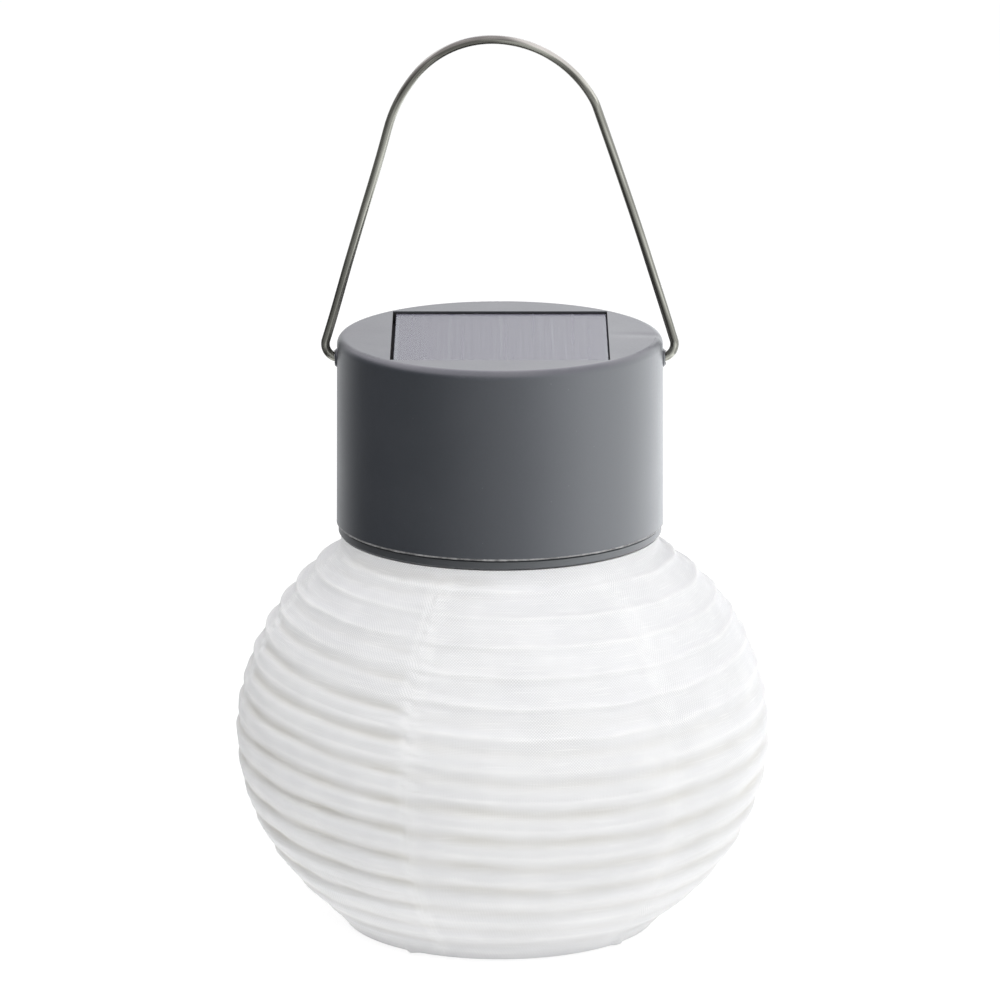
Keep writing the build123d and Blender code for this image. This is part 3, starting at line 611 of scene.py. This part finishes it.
def outline(angle):
    # radius and height of the cloth over the ribs, drawn out to the collar and in to the hem
    point = onBall(angle)
    topShare = max(0.0, 1 - (angle - ball["topAngle"]) / ball["topBlend"])
    footShare = max(0.0, 1 - (ball["footAngle"] - angle) / ball["footBlend"])
    point += (Vector(ball["top"]) - onBall(ball["topAngle"])) * topShare ** 2
    point += (Vector(ball["foot"]) - onBall(ball["footAngle"])) * footShare ** 2
    return point


def outwards(angle):
    return Vector((sin(radians(angle)) / ball["radius"], cos(radians(angle)) / ball["halfHeight"])).normalized()


def ribAngle(turn, bearing):
    # angle of the wire after so many turns, at a bearing in degrees
    angle = ball["ribAngle"] + ball["ribStep"] * turn
    lift = ball["lift"] * sin(radians(bearing - ball["liftBearing"])) ** 2
    return angle - lift * smoothStep(*ball["liftFrom"], angle) * smoothStep(*ball["liftTo"], angle)


def aroundAxis(radius, height, bearing):
    return Vector((radius * cos(radians(bearing)), radius * sin(radians(bearing)), height))


def swayed(angle):
    share = smoothStep(*ball["swayFrom"], angle) * smoothStep(*ball["swayTo"], angle)
    return Vector((ball["sway"] * share, 0, 0))


# Cloth, sewn from gores and drawn over the wire: taut above, folded in between the lower turns.
# A pair whose name ends in Size gives a noise's lumps, their width and height on the cloth, or how many
# go round the axis and how many degrees down the ball one takes.
cloth = {
    "gores": 6, "firstSeam": 249.0, "goreSteps": 26, "rows": 18, "crowding": 0.7, "rowCrowding": 0.4,
    "thickness": 0.25 * mm, "merge": 0.004 * mm, "endReach": 5, "unevenSize": (9 * mm, 12 * mm),
    "tautTo": 66.0, "slackFrom": 98.0, "tautSag": 0.95 * mm, "sagDrift": 0.35, "ridgeHalf": 1.25 * mm,
    "ridgePower": 1.7, "foldDepth": 1.5 * mm, "foldAt": 0.46, "foldAbove": 0.24, "foldBelow": (0.24, 0.11),
    "sharpFold": (0.6, 1.1), "foldDrift": 0.07, "foldDrop": 0.5, "driftSize": (3.1, 9.0),
    "dropSize": (5.3, 15.0), "bulge": 0.5 * mm, "earlyEase": 0.08, "slopeEase": 0.12, "foldEase": 0.2,
    "seamShown": 0.35,
    "foldShare": (0.75, 0.8, 1.0, 0.9, 1.1, 1.0), "foldSlope": (0.05, -0.06, 0.1, 0.04, -0.08, 0.06),
    "early": (3.0, 0.0, 6.0, 4.0, 8.0, 22.0), "smoother": 0.65, "smoothFrom": 110.0, "smoothTo": 135.0,
    "seamHalf": (3.4 * mm, 2.2 * mm), "seamNarrows": (50, 110), "seamRise": 0.14 * mm, "seamFlat": 0.35,
    "seamPuckers": (1.0, 0.4, 0.6, 0.8, 0.5, 0.7), "seamSoft": (0.12, 0.4), "ragged": 0.16, "raggedStep": 2.2,
    "wrinkle": 0.25 * mm, "wrinkleSize": (16 * mm, 3.5 * mm), "pucker": 0.75 * mm, "puckerReach": 8 * mm,
    "puckerTo": (78.0, 106.0), "puckerScales": (1.5, 3.1), "puckerSkew": 9, "puckerAtRib": 0.4, "calm": 0.3,
    "wander": 0.55 * mm, "gather": 0.3 * mm, "gatherReach": 9.0, "gatherSize": (16, 14), "finerSize": (37, 11),
    "tuckFrom": 196.0, "tuckTo": 276.0, "tuckEase": (12, 20), "tuckWander": 0.8, "tuckDepth": 0.9 * mm,
    "tucks": ((36.4, 1.3, 1.0), (40.4, 1.0, 0.5)),
    "corners": (237.0, 317.5), "cornerHalf": 2.6, "cornerFrom": 138.5, "cornerOut": 1.8 * mm,
    "stitchAt": 0.45, "stitchHalf": 0.25 * mm, "highlightHalf": 0.75 * mm, "highlightPatch": (0.65, 0.7, 0.15),
    "highlightBelow": (0.45, 0.3), "tuckShade": 0.4,
}


def easedEnds(within, reach):
    # 1 along a span and 0 at its two ends
    return smoothStep(0, reach, within) * smoothStep(1, 1 - reach, within)


def noiseRound(bearing, angle, size, shift=(0, 0, 0)):
    # lumps that run round the axis and down the ball
    around, (reach, drop) = radians(bearing), size
    spot = (reach * cos(around) + shift[0], reach * sin(around) + shift[1], angle / drop + shift[2])
    return noise.noise(Vector(spot))


def onCloth(bearing, angle, size):
    # a place on the cloth, counted in lumps
    radius, (wide, tall) = onBall(angle).x, size
    down = radians(angle) * ball["radius"] / tall
    return aroundAxis(radius / wide, down, bearing)


def bell(distance, half, power=2):
    return exp(-(abs(distance / half) ** power))


def clothOffset(bearing, angle, share):
    # how far the cloth stands off the outline between two turns, and where it gets the painted highlight on its
    # ridges, its seam band, or the painted shade in its folds
    sector = 360.0 / cloth["gores"]
    goreTurn = ((bearing - cloth["firstSeam"]) / sector) % cloth["gores"]
    gore = int(goreTurn) % cloth["gores"]
    within = goreTurn - int(goreTurn)
    fromSeam = min(within, 1 - within) * radians(sector) * onBall(angle).x
    seam = gore if within < 0.5 else (gore + 1) % cloth["gores"]
    seamPuckers = cloth["seamPuckers"][seam]
    window = smoothStep(ball["topAngle"], ball["topAngle"] + cloth["endReach"], angle)
    window *= smoothStep(ball["footAngle"], ball["footAngle"] - cloth["endReach"], angle)
    flatter = 1 - cloth["smoother"] * smoothStep(cloth["smoothFrom"], cloth["smoothTo"], angle)
    early = cloth["early"][gore] * easedEnds(within, cloth["earlyEase"])
    slack = smoothStep(cloth["tautTo"], cloth["slackFrom"], angle + early)
    drift = noiseRound(bearing, angle, cloth["driftSize"])
    drop = noiseRound(bearing, angle, cloth["dropSize"], (9, 4, 2))

    # taut cloth sags a little between two ribs
    reach = onCloth(bearing, angle, cloth["unevenSize"])
    uneven = noise.noise(reach) * cloth["wander"]
    pitch = radians(ball["ribStep"]) * ball["halfHeight"]
    fromRib = abs(min(share, 1 - share) * pitch + (uneven if share < 0.5 else -uneven))
    onRidge = bell(fromRib, cloth["ridgeHalf"], cloth["ridgePower"])
    taut = -cloth["tautSag"] * (1 - onRidge) * (1 + cloth["sagDrift"] * drift)

    # folds run a little askew of the wire and meet at the seams
    slope = cloth["foldSlope"][gore] * (within - 0.5) * easedEnds(within, cloth["slopeEase"])
    foldAt = cloth["foldAt"] + slope + cloth["foldDrift"] * drift
    depth = cloth["foldShare"][gore]
    wideBelow, thinBelow = cloth["foldBelow"]
    below = wideBelow + (thinBelow - wideBelow) * smoothStep(*cloth["sharpFold"], depth)
    crease = bell(share - foldAt, cloth["foldAbove"] if share < foldAt else below)
    crease *= easedEnds(share, cloth["foldEase"])
    crease *= depth * (1 + cloth["foldDrop"] * drop)
    loose = cloth["bulge"] * sin(pi * share) - cloth["foldDepth"] * crease
    offset = (taut * (1 - slack) + loose * slack) * flatter

    # fine wrinkles everywhere, and puckers beside the seams
    fine = onCloth(bearing, angle, cloth["wrinkleSize"])
    ripple = noise.noise(fine) * cloth["wrinkle"] * sin(pi * share)
    nearSeam = bell(fromSeam, cloth["puckerReach"])
    lively = seamPuckers * (1 - (1 - cloth["calm"]) * smoothStep(*cloth["puckerTo"], angle))
    skew = Vector((within * cloth["puckerSkew"], within * cloth["puckerSkew"], 0))
    coarse, finer = cloth["puckerScales"]
    crinkle = noise.noise(fine * coarse + skew) + 0.5 * noise.noise(fine * finer - skew)
    betweenRibs = cloth["puckerAtRib"] + (1 - cloth["puckerAtRib"]) * sin(pi * share)
    ripple += nearSeam * crinkle * cloth["pucker"] * lively * betweenRibs

    # the seam's doubled cloth
    wideHalf, thinHalf = cloth["seamHalf"]
    half = wideHalf + (thinHalf - wideHalf) * smoothStep(*cloth["seamNarrows"], angle)
    ragged = 1 + cloth["ragged"] * noise.noise(Vector((seam * 7.0, angle / cloth["raggedStep"], 0)))
    soft = cloth["seamSoft"][0] + cloth["seamSoft"][1] * (1 - seamPuckers)
    band = smoothStep(half * ragged * (1 + soft), half * ragged * (1 - soft), fromSeam)
    offset = offset * (1 - cloth["seamFlat"] * nearSeam) + ripple + band * cloth["seamRise"]

    # gathers under the collar, where the cloth is also tucked back on the lantern's left
    gathers = noiseRound(bearing, angle, cloth["gatherSize"])
    gathers += 0.5 * noiseRound(bearing, angle, cloth["finerSize"])
    tucked = smoothStep(cloth["tuckFrom"], cloth["tuckFrom"] + cloth["tuckEase"][0], bearing % 360)
    tucked *= smoothStep(cloth["tuckTo"], cloth["tuckTo"] - cloth["tuckEase"][1], bearing % 360)
    tuck = 0.0
    for middle, halfTuck, weight in cloth["tucks"]:
        tuck += weight * bell(angle - middle - cloth["tuckWander"] * gathers, halfTuck) * tucked
    offset -= tuck * cloth["tuckDepth"]
    gatherTo, gatherFrom = ball["topAngle"] + cloth["gatherReach"], ball["topAngle"] + 1
    offset += gathers * cloth["gather"] * smoothStep(gatherTo, gatherFrom, angle)

    # marks for the cloth's material: a painted highlight along the ridges and just below them where the cloth
    # is slack, the seam band, painted shade in the folds and in the tucks under the collar, and the stitches
    usual, spread, least = cloth["highlightPatch"]
    patchy = min(1.0, max(least, usual + spread * noise.noise(reach * 0.8 + Vector((5, 5, 5)))))
    # a painted highlight on the ridges, and a broader one just below them where the cloth is slack
    ridgeHighlight = bell(fromRib, cloth["highlightHalf"]) * (1 - 0.5 * slack) * patchy
    ridgeHighlight += cloth["highlightBelow"][0] * slack * (1 - smoothStep(0.0, cloth["highlightBelow"][1], share))
    marks = {
        "ridgeHighlight": ridgeHighlight * window,
        "seamBand": band * window * (cloth["seamShown"] + (1 - cloth["seamShown"]) * seamPuckers),
        # painted shade in the folds and in the tucks under the collar
        "fold": crease * slack * window * flatter + cloth["tuckShade"] * tuck,
        "stitch": bell(fromSeam - cloth["stitchAt"] * half, cloth["stitchHalf"]) * band,
    }
    return offset * window, marks


def sewCloth():
    # a helical strip between two turns of the wire, wound from the collar to the hem and merged
    segments = cloth["gores"] * cloth["goreSteps"]
    sector = 360.0 / cloth["gores"]
    overlap = ball["lift"] / ball["ribStep"] + 1
    seamTurn = (cloth["firstSeam"] - ball["ribBearing"]) / 360.0
    firstTurn = floor((ball["topAngle"] - ball["ribAngle"]) / ball["ribStep"]) - 1
    lastTurn = ceil((ball["footAngle"] - ball["ribAngle"]) / ball["ribStep"] + overlap)
    count = (lastTurn - firstTurn) * segments
    clearSelection()
    bpy.ops.mesh.primitive_grid_add(x_subdivisions=count, y_subdivisions=cloth["rows"], size=1)
    piece = bpy.context.object
    # length down the outline, for the weave's map
    depthSteps = 4
    down = range(int(depthSteps * (ball["footAngle"] - ball["topAngle"])) + 2)
    outlinePoints = [outline(ball["topAngle"] + index / depthSteps) for index in down]
    depths = [0.0]
    for high, low in zip(outlinePoints, outlinePoints[1:]):
        depths.append(depths[-1] + (low - high).length)
    places = []
    marks = {"ridgeHighlight": [], "seamBand": [], "fold": [], "stitch": []}
    for vertex in piece.data.vertices:
        step = round((vertex.co.x + 0.5) * count)
        row = round((0.5 - vertex.co.y) * cloth["rows"]) / cloth["rows"]
        share = row - cloth["rowCrowding"] * sin(2 * pi * row) / (2 * pi)
        gorePart = step / cloth["goreSteps"]
        inGore = gorePart - floor(gorePart)
        eased = inGore - cloth["crowding"] * sin(2 * pi * inGore) / (2 * pi)
        bearing = cloth["firstSeam"] + sector * (floor(gorePart) + eased)
        turn = firstTurn + seamTurn + (floor(gorePart) + eased) / cloth["gores"]
        angle = ribAngle(turn, bearing) * (1 - share) + ribAngle(turn + 1, bearing) * share
        angle = min(ball["footAngle"], max(ball["topAngle"], angle))
        offset, found = clothOffset(bearing, angle, share)
        spot = outline(angle) + outwards(angle) * offset
        # two small corners of gathered cloth stand out over the hem
        for corner in cloth["corners"]:
            peak = max(0.0, 1 - abs(bearing % 360 - corner) / cloth["cornerHalf"])
            spot.x += cloth["cornerOut"] * peak * smoothStep(cloth["cornerFrom"], ball["footAngle"], angle)
        vertex.co = aroundAxis(spot.x, spot.y, bearing) + swayed(angle)
        index = (angle - ball["topAngle"]) * depthSteps
        depth = depths[int(index)] + (depths[int(index) + 1] - depths[int(index)]) * (index % 1)
        places.append((bearing, spot.x, depth))
        for title in marks:
            marks[title].append(found[title])
    layer = piece.data.uv_layers.active.data
    for face in piece.data.polygons:
        middle = sum(places[corner][0] for corner in face.vertices) / len(face.vertices)
        centre = cloth["firstSeam"] + sector * (floor((middle - cloth["firstSeam"]) / sector) + 0.5)
        for loop in face.loop_indices:
            bearing, radius, depth = places[piece.data.loops[loop].vertex_index]
            layer[loop].uv = (radians(bearing - centre) * radius, depth)
    for title, values in marks.items():
        attribute = piece.data.attributes.new(title, "FLOAT", "POINT")
        attribute.data.foreach_set("value", values)
    editAll()
    bpy.ops.mesh.remove_doubles(threshold=cloth["merge"])
    bpy.ops.mesh.dissolve_degenerate(threshold=cloth["merge"])
    bpy.ops.mesh.normals_make_consistent(inside=False)
    bpy.ops.object.mode_set(mode="OBJECT")
    applyModifier(piece, "SOLIDIFY", thickness=cloth["thickness"], offset=-1)
    return piece


clothPiece = finishPiece(sewCloth(), "shadeCloth", shadeCloth, "shade", smoothAngle=80)
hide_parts("shade_fabric")
print("cloth sewn,", len(clothPiece.data.polygons), "faces")

# Coil, one wire just inside the cloth's ridges
coil = {
    "radius": 0.5 * mm, "inset": 0.8 * mm, "turnSteps": 60, "sides": 8, "leastReach": 44.0 * mm,
    "ends": (30.9, 144.6), "collarInset": 0.5 * mm, "collarReach": (40.5, 35.5),
}
coilPoints = []
firstTurn = (coil["ends"][0] - ball["ribAngle"]) / ball["ribStep"]
lastTurn = (coil["ends"][1] - ball["ribAngle"]) / ball["ribStep"]
for step in range(ceil((lastTurn - firstTurn) * coil["turnSteps"])):
    turn = firstTurn + step / coil["turnSteps"]
    bearing = ball["ribBearing"] + 360 * turn
    angle = ribAngle(turn, bearing)
    spot = outline(angle) if angle > ball["topAngle"] else onBall(angle)
    spot -= outwards(angle) * (coil["inset"] + cloth["thickness"])
    # the cloth stands nearly upright at the collar, so the wire keeps further in there
    spot.x -= coil["collarInset"] * smoothStep(*coil["collarReach"], angle)
    coilPoints.append(aroundAxis(max(spot.x, coil["leastReach"]), spot.y, bearing) + swayed(angle))
coilPiece = bendWire(coilPoints, coil["radius"], coil["sides"])
finishPiece(coilPiece, "springCoil", coilSteel, "shade")
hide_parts("shade_spiral")
print("coil wound,", len(coilPoints), "points")

# Hem, a cloth sleeve over the bottom hoop, flat where it stands
hem = {
    "radius": 42.7 * mm, "half": 1.55 * mm, "steps": 240, "sides": 20, "lump": 0.15 * mm,
    "lumpSize": (4 * mm, 2 * mm),
}
wide, tall = hem["lumpSize"]
hemStep = 360.0 / hem["steps"]
hemPoints = [aroundAxis(hem["radius"], hem["half"], hemStep * step) for step in range(hem["steps"])]
hemPiece = bendWire(hemPoints, hem["half"], hem["sides"], closed=True)
for vertex in hemPiece.data.vertices:
    centre = Vector((vertex.co.x, vertex.co.y, 0)).normalized() * hem["radius"] + Vector((0, 0, hem["half"]))
    lump = noise.noise(Vector((vertex.co.x / wide, vertex.co.y / wide, vertex.co.z / tall))) * hem["lump"]
    vertex.co = centre + (vertex.co - centre).normalized() * (hem["half"] + lump)
    vertex.co.z = max(0.0, vertex.co.z)
mapSize = (2 * pi * hem["half"], 2 * pi * hem["radius"])
for corner in hemPiece.data.uv_layers.active.data:
    corner.uv = (corner.uv[0] * mapSize[0], corner.uv[1] * mapSize[1])
finishPiece(hemPiece, "hemSleeve", hemCloth, "base", smoothAngle=60)
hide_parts("bottom_hem")
print("hem sewn")

# Bail, one bent wire: pin, foot bend, leg, shoulder, top and back down, a little out of true.
# Its left shoulder is a wide bend and its right one a tight bend, and its legs bow outwards.
bail = {
    "radius": 1.25 * mm, "reach": 49.2 * mm, "rise": 91.0 * mm, "footRadius": 4.0 * mm, "pinTip": 40.5 * mm,
    "right": {"topRadius": 31.4 * mm, "topHalf": 62.0, "shoulder": 14.0 * mm, "bow": -0.3 * mm},
    "left": {"topRadius": 28.0 * mm, "topHalf": 48.0, "shoulder": 44.0 * mm, "bow": 0.65 * mm},
    "sides": 20, "step": 3.0, "legParts": 16, "lean": -2.2 * mm, "leanFrom": 30 * mm,
}


def arc(centre, radius, start, end):
    steps = max(2, ceil(abs(end - start) / bail["step"]))
    turned = [radians(start + (end - start) * step / steps) for step in range(steps + 1)]
    return [centre + Vector((cos(angle), sin(angle))) * radius for angle in turned]


def bailHalf(side):
    # from the pin's tip up one side to the apex
    topCentre = Vector((0, bail["rise"] - side["topRadius"]))
    turn = radians(side["topHalf"])
    shoulder = topCentre + Vector((sin(turn), cos(turn))) * (side["topRadius"] - side["shoulder"])
    foot = Vector((bail["reach"] - bail["footRadius"], bail["footRadius"]))
    leg = foot - shoulder
    crossing = asin((side["shoulder"] - bail["footRadius"]) / hypot(leg.x, leg.y))
    legTurn = degrees(atan2(leg.x, -leg.y) - crossing)
    footBend = arc(foot, bail["footRadius"], -90, legTurn)
    shoulderBend = arc(shoulder, side["shoulder"], legTurn, 90 - side["topHalf"])
    legPoints = []
    for part in range(1, bail["legParts"]):
        share = part / bail["legParts"]
        point = footBend[-1].lerp(shoulderBend[0], share)
        legPoints.append(point + Vector((side["bow"] * sin(pi * share) ** 2, 0)))
    pin = [Vector((bail["pinTip"], 0)), Vector((bail["pinTip"] + 2 * mm, 0))]
    top = arc(topCentre, side["topRadius"], 90 - side["topHalf"], 90)[1:]
    return pin + footBend + legPoints + shoulderBend + top


bailPoints = bailHalf(bail["right"])
bailPoints += [Vector((-point.x, point.y)) for point in reversed(bailHalf(bail["left"])[:-1])]
bailLine = []
for point in bailPoints:
    lean = bail["lean"] * smoothStep(bail["leanFrom"], bail["rise"], point.y)
    bailLine.append(Vector((point.x + lean, 0, pinHeight + point.y)))
bailPiece = bendWire(bailLine, bail["radius"], bail["sides"])
finishPiece(bailPiece, "bailWire", bailSteel, "bail", smoothAngle=50)
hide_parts("bail_wire")
print("bail bent")

# Moulding flash, a thin ragged fin round the cap's foot
flash = {
    "steps": 420, "height": 0.45 * mm, "lip": 0.1 * mm, "drop": 0.14 * mm, "out": 0.03 * mm,
    "thickness": 0.05 * mm, "inset": 0.12 * mm, "size": 3 * mm, "finer": 4,
}


def torn(spot, values):
    # how much of a ragged edge is left at a place
    place = spot / values["size"]
    return max(0.0, noise.noise(place) + 0.5 * noise.noise(place * values["finer"]) + 0.1)


clearSelection()
bpy.ops.mesh.primitive_circle_add(
    vertices=flash["steps"], radius=capFootRadius - flash["inset"], location=(0, 0, capFoot + flash["height"])
)
flashPiece = bpy.context.object
editAll()
extrudeBy(0, 0, -flash["height"])
extrudeBy(0, 0, -flash["lip"])
bpy.ops.object.mode_set(mode="OBJECT")
for vertex in flashPiece.data.vertices:
    if vertex.co.z < -flash["height"] - flash["lip"] / 2:
        vertex.co.z -= flash["drop"] * torn(vertex.co, flash)
    if vertex.co.z < -flash["height"] / 2:
        uneven = 1 + noise.noise(vertex.co / flash["size"] * 2)
        stretch = 1 + (flash["inset"] + flash["out"] * uneven) / capFootRadius
        vertex.co.x *= stretch
        vertex.co.y *= stretch
applyModifier(flashPiece, "SOLIDIFY", thickness=flash["thickness"], offset=-1)
finishPiece(flashPiece, "mouldFlash", flashPlastic, "cap", smoothAngle=60)

# Torn flash round the bail's two eyes, made once and turned about for the other side
eyeFlash = {
    "steps": 48, "radius": 2.1 * mm, "inset": 0.15 * mm, "out": 0.45 * mm, "thickness": 0.08 * mm,
    "size": 0.8 * mm, "finer": 3,
}
clearSelection()
bpy.ops.mesh.primitive_circle_add(
    vertices=eyeFlash["steps"], radius=eyeFlash["radius"], rotation=(0, pi / 2, 0),
    location=(eyeFace - eyeFlash["inset"], 0, pinHeight),
)
eyePiece = bpy.context.object
bpy.ops.object.transform_apply(location=True, rotation=True, scale=True)
editAll()
extrudeBy(eyeFlash["inset"], 0, 0)
bpy.ops.object.mode_set(mode="OBJECT")
for vertex in eyePiece.data.vertices:
    if vertex.co.x > eyeFace - eyeFlash["inset"] / 2:
        vertex.co.x += eyeFlash["out"] * torn(vertex.co, eyeFlash)
applyModifier(eyePiece, "SOLIDIFY", thickness=eyeFlash["thickness"], offset=0)
pick(eyePiece)
bpy.ops.object.duplicate()
otherEye = bpy.context.object
otherEye.rotation_euler = (0, 0, pi)
finishPiece(eyePiece, "rightEyeFlash", flashPlastic, "cap", smoothAngle=60)
finishPiece(otherEye, "leftEyeFlash", flashPlastic, "cap", smoothAngle=60)
print("flash trimmed")

# Studio: white floor and world, two lamps, and a bowl of soft boxes that only gloss sees.
# The floor also glows faintly on the cloth, more on the right than on the left.
studio = {
    "floorSize": 6.0, "floorDrop": 0.2 * mm, "floorGlow": 0.82, "floorAlbedo": 0.8, "floorShown": 0.35,
    "floorFill": 0.3, "fillLeft": 0.6, "fillRight": 1.5, "fillReach": 0.25,
    "worldLight": 0.44, "aim": (0, 0, 0.1),
    "rightLamp": {"place": (1.25, -0.45, 0.5), "size": (0.9, 1.3), "power": 5.4},
    "topLamp": {"place": (-0.1, -0.7, 1.4), "size": (1.4, 1.2), "power": 16.2},
    "bowl": {"radius": 0.55, "half": 0.36, "segments": 96, "rings": 32},
    # bearing from straight behind the camera round by the right, and the glow there
    "boxes": (
        (0, 1.3), (14, 1.6), (32, 2.75), (62, 4.4), (112, 3.8), (150, 2.5), (172, 2.0), (188, 1.35),
        (215, 1.1), (238, 0.5), (252, 0.08), (300, 0.12), (320, 0.35), (340, 0.85), (360, 1.3),
    ),
    "overhead": (3.1, 2.95, 3.25), "overheadFrom": 0.5, "overheadTo": 0.83,
    "underfoot": 2.4, "underfootFrom": 0.026, "underfootTo": 0.014,
}
for title in ("rightLamp", "topLamp"):
    values = studio[title]
    bpy.ops.object.light_add(type="AREA", location=values["place"])
    lamp = bpy.context.object
    lamp.name = title
    lamp.data.shape = "RECTANGLE"
    lamp.data.size, lamp.data.size_y = values["size"]
    lamp.data.energy = values["power"]
    lamp.rotation_euler = (Vector(studio["aim"]) - Vector(values["place"])).to_track_quat("-Z", "Y").to_euler()

clearSelection()
bowl = studio["bowl"]
bpy.ops.mesh.primitive_uv_sphere_add(
    segments=bowl["segments"], ring_count=bowl["rings"], radius=1, location=(0, 0, bowl["half"]),
    scale=(bowl["radius"], bowl["radius"], bowl["half"]),
)
bowlPiece = bpy.context.object
material, tree, shader = newMaterial("softBoxes")
tree.nodes.remove(shader)
where = objectPlace(tree)
spot = parts(tree, where)
turned = maths(tree, "ARCTAN2", spot[0], times(tree, spot[1], -1.0))
turned = maths(tree, "FRACT", maths(tree, "ADD", maths(tree, "DIVIDE", turned, 2 * pi), 1.0))
ramp = addNode(tree, "ValToRGB", {0: turned})
brightest = max(glow for bearing, glow in studio["boxes"])
stops = ramp.color_ramp.elements
for bearing, glow in studio["boxes"][1:-1]:
    stops.new(bearing / 360)
for stop, (bearing, glow) in zip(stops, studio["boxes"]):
    stop.position = bearing / 360
    stop.color = grey(glow / brightest, -0.02)
bowlShare = maths(tree, "DIVIDE", spot[2], 2 * bowl["half"])
upwards = remap(tree, bowlShare, studio["overheadFrom"], studio["overheadTo"])
downwards = remap(tree, bowlShare, studio["underfootFrom"], studio["underfootTo"])
shine = mixColour(tree, upwards, ramp.outputs[0], tuple(part / brightest for part in studio["overhead"]) + (1,))
shine = mixColour(tree, downwards, shine, grey(studio["underfoot"] / brightest))
glow = addNode(tree, "Emission", {"Color": shine, "Strength": brightest})
showSurface(tree, glow)
finishPiece(bowlPiece, "softBoxBowl", material)
for sees in ("camera", "diffuse", "shadow", "transmission", "volume_scatter"):
    setattr(bowlPiece, "visible_" + sees, False)


def shownRays(tree):
    # camera, gloss and glass see the white background, and everything else sees its plain light
    path = addNode(tree, "LightPath").outputs
    seen = maths(tree, "MAXIMUM", path["Is Glossy Ray"], path["Is Transmission Ray"])
    return maths(tree, "MAXIMUM", path["Is Camera Ray"], seen)


clearSelection()
bpy.ops.mesh.primitive_plane_add(size=studio["floorSize"], location=(0, 0, -studio["floorDrop"]))
floorPiece = bpy.context.object
sockets = {
    "Roughness": 0.9, "Specular IOR Level": 0.0, "Base Color": grey(studio["floorAlbedo"]),
    "Emission Strength": studio["floorFill"],
}
material, tree, shader = newMaterial("paleFloor", sockets)
alongFloor = parts(tree, objectPlace(tree))[0]
towardsRight = remap(tree, alongFloor, -studio["fillReach"], studio["fillReach"])
fill = mixColour(tree, towardsRight, grey(studio["fillLeft"]), grey(studio["fillRight"]))
feed(shader, "Emission Color", fill)
shown = addNode(tree, "BsdfDiffuse", {"Color": grey(studio["floorShown"])})
glow = addNode(tree, "Emission", {"Strength": studio["floorGlow"]})
both = addNode(tree, "AddShader", {0: shown.outputs[0], 1: glow.outputs[0]})
blend = addNode(tree, "MixShader", {0: shownRays(tree), 1: shader.outputs[0], 2: both.outputs[0]})
showSurface(tree, blend)
finishPiece(floorPiece, "floor", material)

world = bpy.context.scene.world or bpy.data.worlds.new("studioWorld")
bpy.context.scene.world = world
world.use_nodes = True
tree = world.node_tree
background = tree.nodes["Background"]
background.inputs["Color"].default_value = (1, 1, 1, 1)
tree.links.new(remap(tree, shownRays(tree), 0.0, 1.0, studio["worldLight"], 1.0), background.inputs["Strength"])
bpy.context.scene.view_settings.view_transform = "Standard"
print("studio lit")

# The cloth and the coil each get a mesh of their own
for piece in (clothPiece, coilPiece):
    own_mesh(piece)
